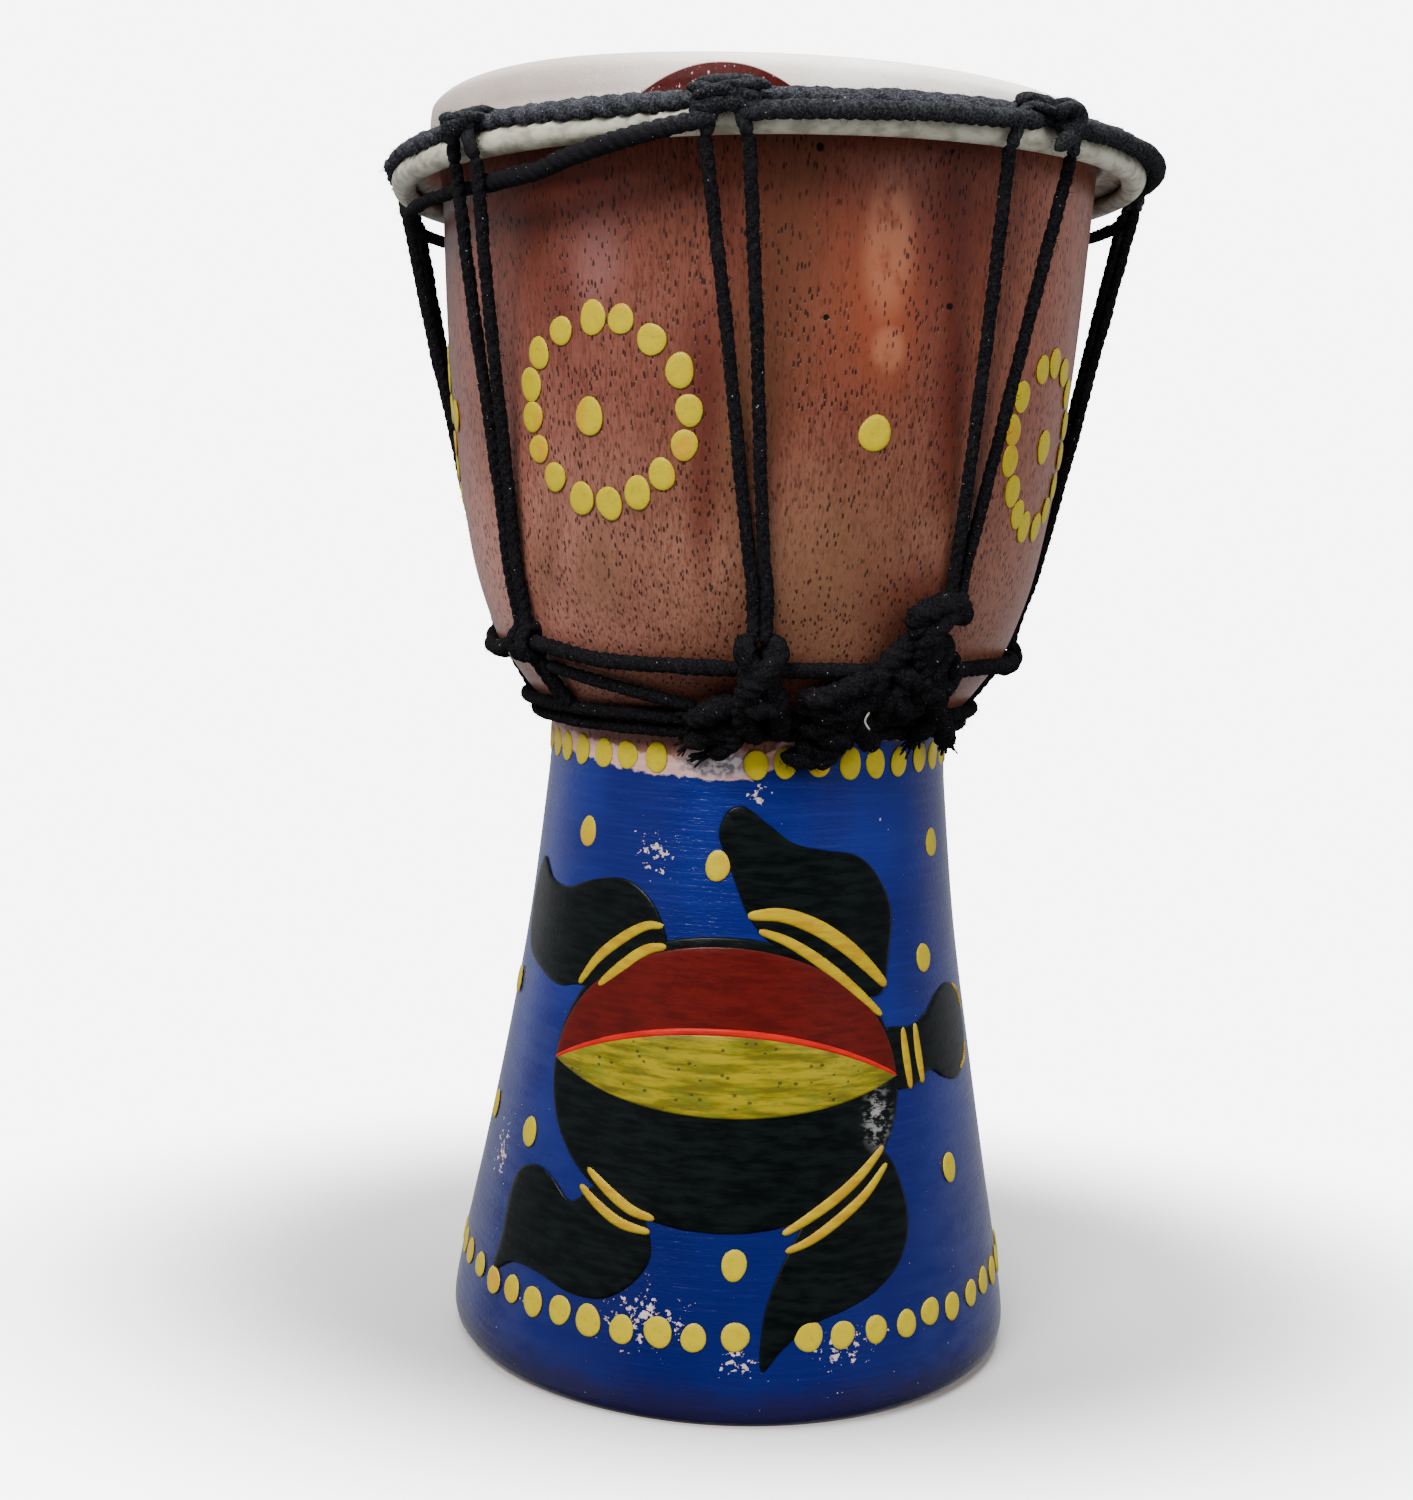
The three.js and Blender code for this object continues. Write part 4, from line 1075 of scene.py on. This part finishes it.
def build_hoop_spans():
    share = np.linspace(0, 1, 13)
    corners = np.linspace(0, 1, 4)
    for i, (at, spread, _) in enumerate(HITCHES):
        next_at, next_spread, _ = HITCHES[(i + 1) % len(HITCHES)]
        next_at += 360 if next_at < at else 0
        start = at + (1.2 if i in (FRONT, SIDE) else -0.6)
        stop = next_at - (1.2 if i in SPAN_PATHS else -0.6)
        path = np.array(SPAN_PATHS.get(i, SPAN_PATH), float)
        radius, height = (np.interp(share, corners, path[:, k]) for k in range(2))
        spots = place(start + (stop - start) * share, radius, height)
        size, finish = SPAN_SIZE, finish_tie
        if i not in SPAN_PATHS:
            # both ends turn out to meet the legs
            ends = place(np.array([at - spread + 0.6, next_at + next_spread - 0.6]), *SPAN_END)
            spots = [ends[0], *spots, ends[1]]
            size, finish = CORD_SIZE, finish_cord
        add_cord(f"span_{i + 1}", f"hoop_span_{i + 1}", smooth_line(spots), size, finish, taper=0.5)


def waist_height(angle):
    return WAIST_HEIGHT + WAIST_PULL * hump(angle, HITCHES[LEFT][2], 13)


def waist_radius(angle):
    return radius_beside(waist_height(angle), WAIST_LIFT)


def leg_line(i, sign):
    """From the hitch straight to the belly of the bowl, then along it to the wrap or knot below."""
    at, spread, wrap = HITCHES[i]
    near = (CORD_SIZE / 2 + 0.02) / shell_degree(LEG_TOUCH)
    touch = np.abs(on_shell(0, LEG_TOUCH, REST_LIFT + 0.1)[1:])
    spots = [place(at + sign * spread, LEG_TOP[0], LEG_TOP[1] + 0.8)]
    for share in (0.3, 0.6, 0.85):
        angle = at + (wrap - at) * share * 0.8 + sign * (spread + (near - spread) * share)
        spots.append(place(angle, *(np.array(LEG_TOP) * (1 - share) + touch * share)))
    spots.append(place(at + (wrap - at) * 0.85 + sign * near, *touch))
    if i != SIDE:
        spots.append(on_shell(at + (wrap - at) * 0.93 + sign * near, LEG_TOUCH - 3, REST_LIFT))
    rise = {FRONT: FRONT_KNOT_RISE, SIDE: SIDE_KNOT_RISE}.get(i, float(waist_height(wrap)) - WAIST_HEIGHT)
    spots.append(on_shell(wrap + sign * near, LEG_END + rise, REST_LIFT))
    spots.append(on_shell(wrap + sign * near * 0.8, LEG_END + rise - 2.5, REST_LIFT + 0.6))
    return smooth_line(spots)


def build_legs():
    for i in range(len(HITCHES)):
        for sign, letter in ((-1, "a"), (1, "b")):
            add_cord(f"leg_{i + 1}{letter}", f"tension_cord_{i + 1}{letter}", leg_line(i, sign), taper=0.4)


def build_cord_rings():
    add_cord("waist_ring", "waist_cord", ring_line(waist_radius, waist_height), WAIST_SIZE, closed=True)
    for name, contact in zip(("lower", "upper"), NECK_CONTACT):
        spot = on_shell(0, contact, REST_LIFT)
        line = ring_line(-spot[1], spot[2])
        add_cord(f"neck_{name}", f"neck_turn_{name}", line, CORD_SIZE * 1.1, closed=True)


def coils(angle, beside, tilt, size=CORD_SIZE):
    """Two turns side by side round the waist cord."""
    reach = (WAIST_SIZE + size) / 2 + 0.1
    turn = np.radians(angles_round(40))[:, None]
    made = []
    for s in (-1, 1):
        at = angle + s * beside
        centre = place(at, float(waist_radius(np.array(at))), float(waist_height(at)))
        circle = np.cos(turn) * place(at + s * tilt, 1.0, 0) + np.sin(turn) * place(0, 0, 1.0)
        made.append(twisted(centre + reach * circle, size, 3 + s, closed=True))
    return made


def build_wraps():
    share = np.linspace(0, 1, 8)
    for i, (_, _, wrap) in enumerate(HITCHES):
        if i in (FRONT, SIDE):
            continue
        top = float(waist_height(wrap)) - 1.5
        parts = coils(wrap, 1.3, 4)
        for s in (-1, 1):
            tail = on_shell(wrap + s * 1.2 + 2 * share, top + (TAIL_END - top) * share, REST_LIFT + 0.1)
            parts.append(twisted(tail, CORD_SIZE, i + 20))
        add_piece(f"wrap_{i + 1}", joined(parts), finish_cord, "cord", f"waist_wrap_{i + 1}")


def build_slant_cord():
    share = np.linspace(0, 1, 14)
    start, stop = HITCHES[LEFT][2] + 2.5, HITCHES[FRONT][2] - 13
    line = on_shell(start + (stop - start) * share, SLANT_TOP - SLANT_FALL * share, REST_LIFT)
    add_cord("slant_run", "slant_cord", line, taper=0.4)


def knot_line(at, spots):
    return smooth_line([place(at + along / KNOT_DEGREE, radius, height) for along, radius, height in spots])


def knot_strands(at, strands, seed):
    """Loosened cord: plump, uneven strands."""
    parts = []
    for k, spots in enumerate(strands):
        line = knot_line(at, spots)
        parts.append(twisted(line, KNOT_SIZE * 1.3, seed + k, pitch=6.0, taper=0.6, plump=0.64, rough=2.4))
        parts.append(fuzz(line, KNOT_SIZE * 1.1, 9.0, seed + k))
    return parts


def frayed_tail(at, spots, count, seed):
    """Cut ends of cord that have opened into a brush of fibres."""
    local = np.random.default_rng(seed)
    line = knot_line(at, spots)
    heading = unit(line[-1] - line[-4])
    parts = []
    for _ in range(count):
        aside = local.standard_normal(3)
        aside = unit(aside - heading * (aside @ heading))
        start = line[-6] + aside * local.uniform(0, 0.9)
        reach = heading * local.uniform(2.0, 3.6)
        bow = aside * local.uniform(0.4, 1.5)
        fibre = smooth_line([start, start + reach * 0.5 + bow * 0.35, start + reach + bow], steps=5)
        size = local.uniform(0.28, 0.5)
        parts.append(twisted(fibre, size, int(local.integers(1000)), pitch=2, sides=6, taper=1.0))
    return parts


def build_knots():
    front, side = HITCHES[FRONT][2], HITCHES[SIDE][2]
    # name, angle, strands, seed, strands with frayed ends, fibres in each
    knots = [("front_knot", front, FRONT_KNOT, 40, (3, 4, 5), 10),
             ("side_knot", side, SIDE_KNOT + SIDE_KNOT_SLACK, 50, (7, 8), 26)]
    for name, at, strands, seed, frayed, count in knots:
        parts = knot_strands(at, strands, seed) + coils(at, 2, 5, KNOT_SIZE)
        for k in frayed:
            parts += frayed_tail(at, strands[k], count, seed + 20 + k)
        add_piece(f"{name}_strands", joined(parts), finish_cord, "cord", name)
    threads = [twisted(knot_line(side, spots), 0.3, k, pitch=1.6, sides=8, taper=1.0)
               for k, spots in enumerate(PALE_THREADS)]
    add_piece("pale_threads", joined(threads), finish_thread, "cord")
    parts = knot_strands(front, LASHING + LASHING_SLACK, 80)
    add_piece("lashing_turns", joined(parts), finish_cord, "cord", "lashing_cord")


# --- Painted decoration ---

# Angles and heights of the dots in the two rounds at the front, their middles first
LEFT_RING = [
    (-29.2, 149.6), (-28, 163.3), (-22.9, 163), (-17.6, 160.2), (-12.9, 156), (-11.3, 150.6), (-12.1, 145.8),
    (-16, 141.7), (-20.5, 139), (-26, 137.4), (-31.6, 138), (-37.2, 141), (-40.6, 145), (-41.6, 149.6),
    (-41.6, 154.2), (-39.4, 158.6), (-34.4, 161.6),
]
RIGHT_RING = [
    (61.7, 148.1), (61.4, 160.6), (56.5, 159.3), (50.6, 155), (49.2, 150), (49.6, 145.6), (52, 141.2),
    (55.4, 137.8), (59.2, 135.9), (65.4, 136), (70.2, 138.6), (73.6, 142.4), (75, 147.2), (74.4, 152),
    (71.6, 156.6), (67, 159.6),
]
LOOSE_DOTS = [
    (-46.4, 86.6), (-6.5, 83.7), (61.9, 85.6), (53.7, 68), (-52.5, 38.4), (55.9, 34.7), (0.9, 24.9),
    (-77, 59.1), (-75.6, 38.2), (104, 84), (128, 66), (96, 40), (150, 28), (-128, 84), (-150, 64),
    (-112, 44), (-134, 26), (176, 88),
]
NECK_ROW, BASE_ROW = 99.3, 14.2


def dot_mesh(angle, height, wide, tall, thick, seed):
    """A blob of thick paint: an uneven round edge, a crowned top and a small pit."""
    local = np.random.default_rng(seed)
    turn = np.radians(angles_round(22))
    edge = 1 + 0.035 * np.sin(2 * turn + local.uniform(0, 6)) + 0.025 * np.sin(3 * turn + local.uniform(0, 6))
    pit = local.uniform(-0.12, 0.12, 2)
    share = np.array([0.25, 0.5, 0.72, 0.86, 0.95, 1.0])[:, None]
    across = share * edge * np.cos(turn) * wide / 2
    up = share * edge * np.sin(turn) * tall / 2
    hollow = np.exp(-((across / wide - pit[0]) ** 2 + (up / tall - pit[1]) ** 2) / 0.0045)
    rise = thick * (1 - share ** 9) - 0.04 - 0.42 * thick * hollow
    rows = on_shell(angle + across / shell_degree(height), height + up, rise)
    return closed_grid(rows, on_shell(angle, height, thick - 0.1), on_shell(angle, height, -0.6))


def add_dots(name, spots):
    """spots: angle, height, width, height of each dot."""
    parts = [dot_mesh(*spot, 0.18 + 0.06 * rng.random(), 100 + k) for k, spot in enumerate(spots)]
    add_piece(name, joined(parts), finish_dots, "wood")


def placed_ring(spots):
    """A round of dots at these angles and heights, the first of them a little wider."""
    dots = []
    for k, (angle, height) in enumerate(spots):
        wide = rng.uniform(3.9, 4.4) if k else 4.8
        dots.append((angle, height, wide, wide * rng.uniform(1.06, 1.16)))
    return dots


def dot_ring(angle, height, radius, count=16, size=4.3):
    """A round of dots with one in the middle, on the bowl."""
    degree = shell_degree(height)
    spots = [(angle + rng.uniform(-1, 1), height + rng.uniform(-0.8, 0.8), size * 1.12, size * 1.25)]
    for k in range(count):
        turn = 2 * math.pi * (k + 0.5 + rng.uniform(-0.16, 0.16)) / count
        reach = radius * (1 + rng.uniform(-0.03, 0.03))
        wide = size * rng.uniform(0.86, 1.05)
        spots.append((angle + reach * math.cos(turn) / degree, height + reach * math.sin(turn),
                      wide, wide * rng.uniform(1.02, 1.2)))
    return spots


def build_dots():
    bowl = placed_ring(LEFT_RING) + placed_ring(RIGHT_RING)
    for spot in ((-95, 149.5, 13.0), (128, 150, 12.6), (-152, 149, 13.0)):
        bowl += dot_ring(*spot)
    bowl += [(*spot, 4.9, 5.2) for spot in ((19.4, 148.3), (95, 149), (164, 148), (-122, 150), (-74, 150.5))]
    add_dots("dots_on_bowl", bowl)

    # the rows at the neck and the base each leave out what wear or the figure takes up at the front
    neck = []
    for k in range(40):
        angle = -61 + 9 * k + rng.uniform(-0.7, 0.7)
        if not -22 < wrapped(angle) < 1:
            neck.append((angle, NECK_ROW + rng.uniform(-0.3, 0.3), 3.9, 4.6 + rng.uniform(-0.2, 0.4)))
    add_dots("dots_at_neck", neck)
    base = []
    for k in range(50):
        angle = -78 + 7.2 * k + rng.uniform(-0.6, 0.6)
        if not 5.5 < wrapped(angle) < 12.5:
            size = rng.uniform(3.9, 4.6)
            base.append((angle, BASE_ROW + rng.uniform(-0.4, 0.4), size, size * 1.05))
    add_dots("dots_at_base", base)
    add_dots("dots_on_foot", [(*spot, 3.9, 4.7) for spot in LOOSE_DOTS])


def inside_outline(points, outline):
    """Which points lie inside a closed outline."""
    x, y = points[:, 0:1], points[:, 1:2]
    x0, y0 = outline.T
    x1, y1 = np.roll(outline, -1, 0).T
    crosses = (y0 > y) != (y1 > y)
    with np.errstate(divide="ignore", invalid="ignore"):
        at = (x1 - x0) * (y - y0) / (y1 - y0) + x0
    return ((crosses & (x < at)).sum(1) % 2) == 1


def edge_inset(flat, distance):
    """The outline moved inwards."""
    after, before = np.roll(flat, -1, 0), np.roll(flat, 1, 0)
    along = unit(after - before)
    area = np.sum(flat[:, 0] * after[:, 1] - after[:, 0] * flat[:, 1])
    side = np.stack([-along[:, 1], along[:, 0]], 1) * (1 if area > 0 else -1)
    return flat + side * distance


def distance_to(outline, points):
    return np.array([np.min(np.hypot(*(outline - point).T)) for point in points])


def paint_patch(outline, thick, base, spacing):
    """A coat of paint with a rounded edge. The outline is in degrees and millimetres of height."""
    middle, height = outline.mean(0)
    scale = shell_degree(height)
    flat = np.stack([(outline[:, 0] - middle) * scale, outline[:, 1]], 1)
    flat = evenly(flat, 0.55, closed=True)
    low, high = flat.min(0), flat.max(0)
    grid = np.stack(np.meshgrid(np.arange(low[0], high[0], spacing), np.arange(low[1], high[1], spacing)), -1)
    grid = grid.reshape(-1, 2)
    grid = grid[inside_outline(grid, edge_inset(flat, 0.8))]
    grid = grid[distance_to(flat, grid) > 0.75]
    every = np.concatenate([flat, edge_inset(flat, 0.35), grid])
    rim = list(range(len(flat)))
    loops = list(zip(rim, rim[1:] + rim[:1]))
    verts, _, tris, _, _, _ = delaunay_2d_cdt([Vector(p) for p in every], loops, [rim], 1, 1e-5)
    verts = np.array([tuple(v) for v in verts])
    depth = distance_to(flat, verts)
    rise = base + thick * ramp(depth, 0, 0.34) ** 0.6 - 0.05 * (depth < 1e-4)
    angle = verts[:, 0] / scale + middle
    points = [on_shell(angle, verts[:, 1], lift) for lift in (rise, -0.45)]
    count = len(verts)
    edges = {edge for tri in tris for edge in zip(tri, [*tri[1:], tri[0]])}
    faces = [list(t) for t in tris]
    faces += [[count + i for i in reversed(t)] for t in tris]
    faces += [[b, count + b, count + a, a] for a, b in sorted(edges) if (b, a) not in edges]
    return np.concatenate(points), faces


def oval(centre, half_width, half_height, start=0, stop=360, power=2.0):
    """Part of an oval on the shell: degrees across, millimetres up."""
    turn = np.radians(np.linspace(start, stop, 48, endpoint=stop - start < 360))
    x, y = (np.sign(c) * np.abs(c) ** (2 / power) for c in (np.cos(turn), np.sin(turn)))
    return np.stack([centre[0] + half_width * x, centre[1] + half_height * y], 1)


def pointed(centre, half_width, half_height, start, stop, count=48):
    """One side of a lens with a point at each end."""
    x = np.cos(np.radians(np.linspace(start, stop, count)))
    side = 1 if (start + stop) / 2 < 180 else -1
    return np.stack([centre[0] + half_width * x, centre[1] + side * half_height * (1 - np.abs(x) ** 2.1)], 1)


def stroke(points, width):
    """The outline of a brush stroke with round, narrowing ends. width is in millimetres."""
    line = smooth_line(points, steps=8)
    scale = shell_degree(line[:, 1].mean())
    flat = evenly(line * (scale, 1), 0.5)
    along = unit(np.gradient(flat, axis=0))
    share = np.linspace(0, 1, len(flat))
    half = width / 2 * (0.42 + 0.58 * np.sin(np.pi * share) ** 0.55)
    half[0] = half[-1] = width * 0.12
    side = np.stack([-along[:, 1], along[:, 0]], 1) * half[:, None]
    return np.concatenate([flat + side, (flat - side)[::-1]]) / (scale, 1)


# A simple turtle seen from above, head to the right: angles and heights on the foot
TURTLE_BACK = (-3.6, 51.2)
TURTLE_LIMBS = [
    [(-18, 69.5), (-20, 74.5), (-24, 78), (-31, 80.3), (-42, 79.6), (-52, 77.4), (-61, 77.8), (-70, 80.5),
     (-75, 74), (-72, 66.5), (-60, 63.2), (-50, 62), (-42, 63), (-30, 62)],
    [(2, 76), (-1, 80), (-4, 84.5), (-6.6, 88.5), (-4.5, 92), (-0.5, 92.8), (6, 90.3), (13, 87.4),
     (22, 86.2), (31, 85.2), (37.5, 81.8), (41.5, 76.5), (40, 70), (37, 64), (24, 66), (10, 71)],
    [(-17, 29), (-16, 25), (-19, 21), (-25, 17.8), (-33, 17.3), (-42, 18.6), (-50, 18.4), (-57, 15.8),
     (-56, 21), (-56, 28), (-54, 32), (-48, 34), (-42, 33), (-36, 30.6), (-30, 34), (-22, 34)],
    [(12, 27), (9, 22.5), (6.8, 17), (6.6, 9.4), (10.5, 12.6), (16, 15.8), (24, 17.8), (31, 20),
     (37, 23.6), (40, 28.6), (39.2, 34), (35, 40), (26, 38), (18, 34)],
    [(37, 58), (46, 58.2), (52, 59.4), (58, 62), (66, 62.8), (73, 60.4), (76.5, 55.5), (74, 50.3),
     (66, 47.4), (58, 48.6), (52, 50.6), (45, 49), (37, 50)],
]
TURTLE_BANDS = [                # width and path of each stroke
    (1.7, [(-42.8, 63.2), (-38, 67.4), (-31.5, 71), (-24, 73.8), (-19.6, 74)]),
    (1.8, [(-36.4, 63.6), (-29.5, 67.4), (-23.5, 70.2), (-18.4, 71)]),
    (2.5, [(1.6, 76.4), (10, 76.6), (18.7, 74.8), (27, 71.6), (33, 68.4), (38.5, 65)]),
    (1.8, [(4.4, 74.2), (11, 72.8), (18.7, 70), (27, 66), (36.6, 60.6)]),
    (1.7, [(-32.6, 36.2), (-26.4, 33.4), (-21, 31.4), (-15.8, 30.6)]),
    (1.6, [(-34, 33.4), (-28, 30.8), (-23, 29.2), (-16.6, 28.6)]),
    (1.7, [(10.6, 29.4), (16.5, 31.8), (23, 34.6), (28.6, 37.4), (34.6, 41)]),
    (1.6, [(11.2, 26.8), (16.5, 28.4), (23, 31.2), (29.4, 34.4), (35.2, 38.4)]),
    (1.6, [(43, 58.2), (43.4, 54), (44.2, 48.6)]),
    (1.6, [(47.4, 58.4), (47.8, 54), (48.6, 49)]),
    (0.9, [(69, 62), (73.4, 60.2), (75.4, 57.2)]),
    (0.9, [(68, 48.4), (72.4, 49.6), (74.8, 51.8)]),
]


def build_turtle(name, turn):
    """The painted turtle, turned round the foot."""
    def patch(part, outlines, material, thick, base, spacing=1.1):
        meshes = [paint_patch(outline + (turn, 0), thick, base, spacing) for outline in outlines]
        add_piece(f"{name}_{part}", joined(meshes), material, "wood")

    back = oval(TURTLE_BACK, 43.8, 21.9, power=2.05)
    limbs = [smooth_line(limb, True, 6) for limb in TURTLE_LIMBS]
    patch("black", [back, *limbs], finish_black, 0.06, 0.02)
    cap = [oval(TURTLE_BACK, 43.5, 20.5, 2, 178), pointed(TURTLE_BACK, 43.5, 7.0, 178, 2)]
    patch("dark_red", [np.concatenate(cap)], finish_dark_red, 0.05, 0.09)
    lens = [pointed(TURTLE_BACK, 43.6, 7.4, 2, 178), pointed(TURTLE_BACK, 43.6, 5.0, 182, 358)]
    patch("lens", [np.concatenate(lens)], finish_lens, 0.07, 0.15)
    seam = pointed(TURTLE_BACK, 43.4, 7.7, 3, 177, 31)
    patch("red_line", [stroke(seam[::3], 1.1)], finish_red, 0.06, 0.22, 0.6)
    patch("bands", [stroke(path, width) for width, path in TURTLE_BANDS], finish_yellow, 0.1, 0.13, 0.7)


build_shell()
build_skin()
finish_flesh_hoop()
build_crown_rope()
build_hitches()
build_hoop_spans()
build_legs()
build_cord_rings()
build_wraps()
build_slant_cord()
build_knots()
build_dots()
build_turtle("turtle_front", 0)
build_turtle("turtle_back", 180)
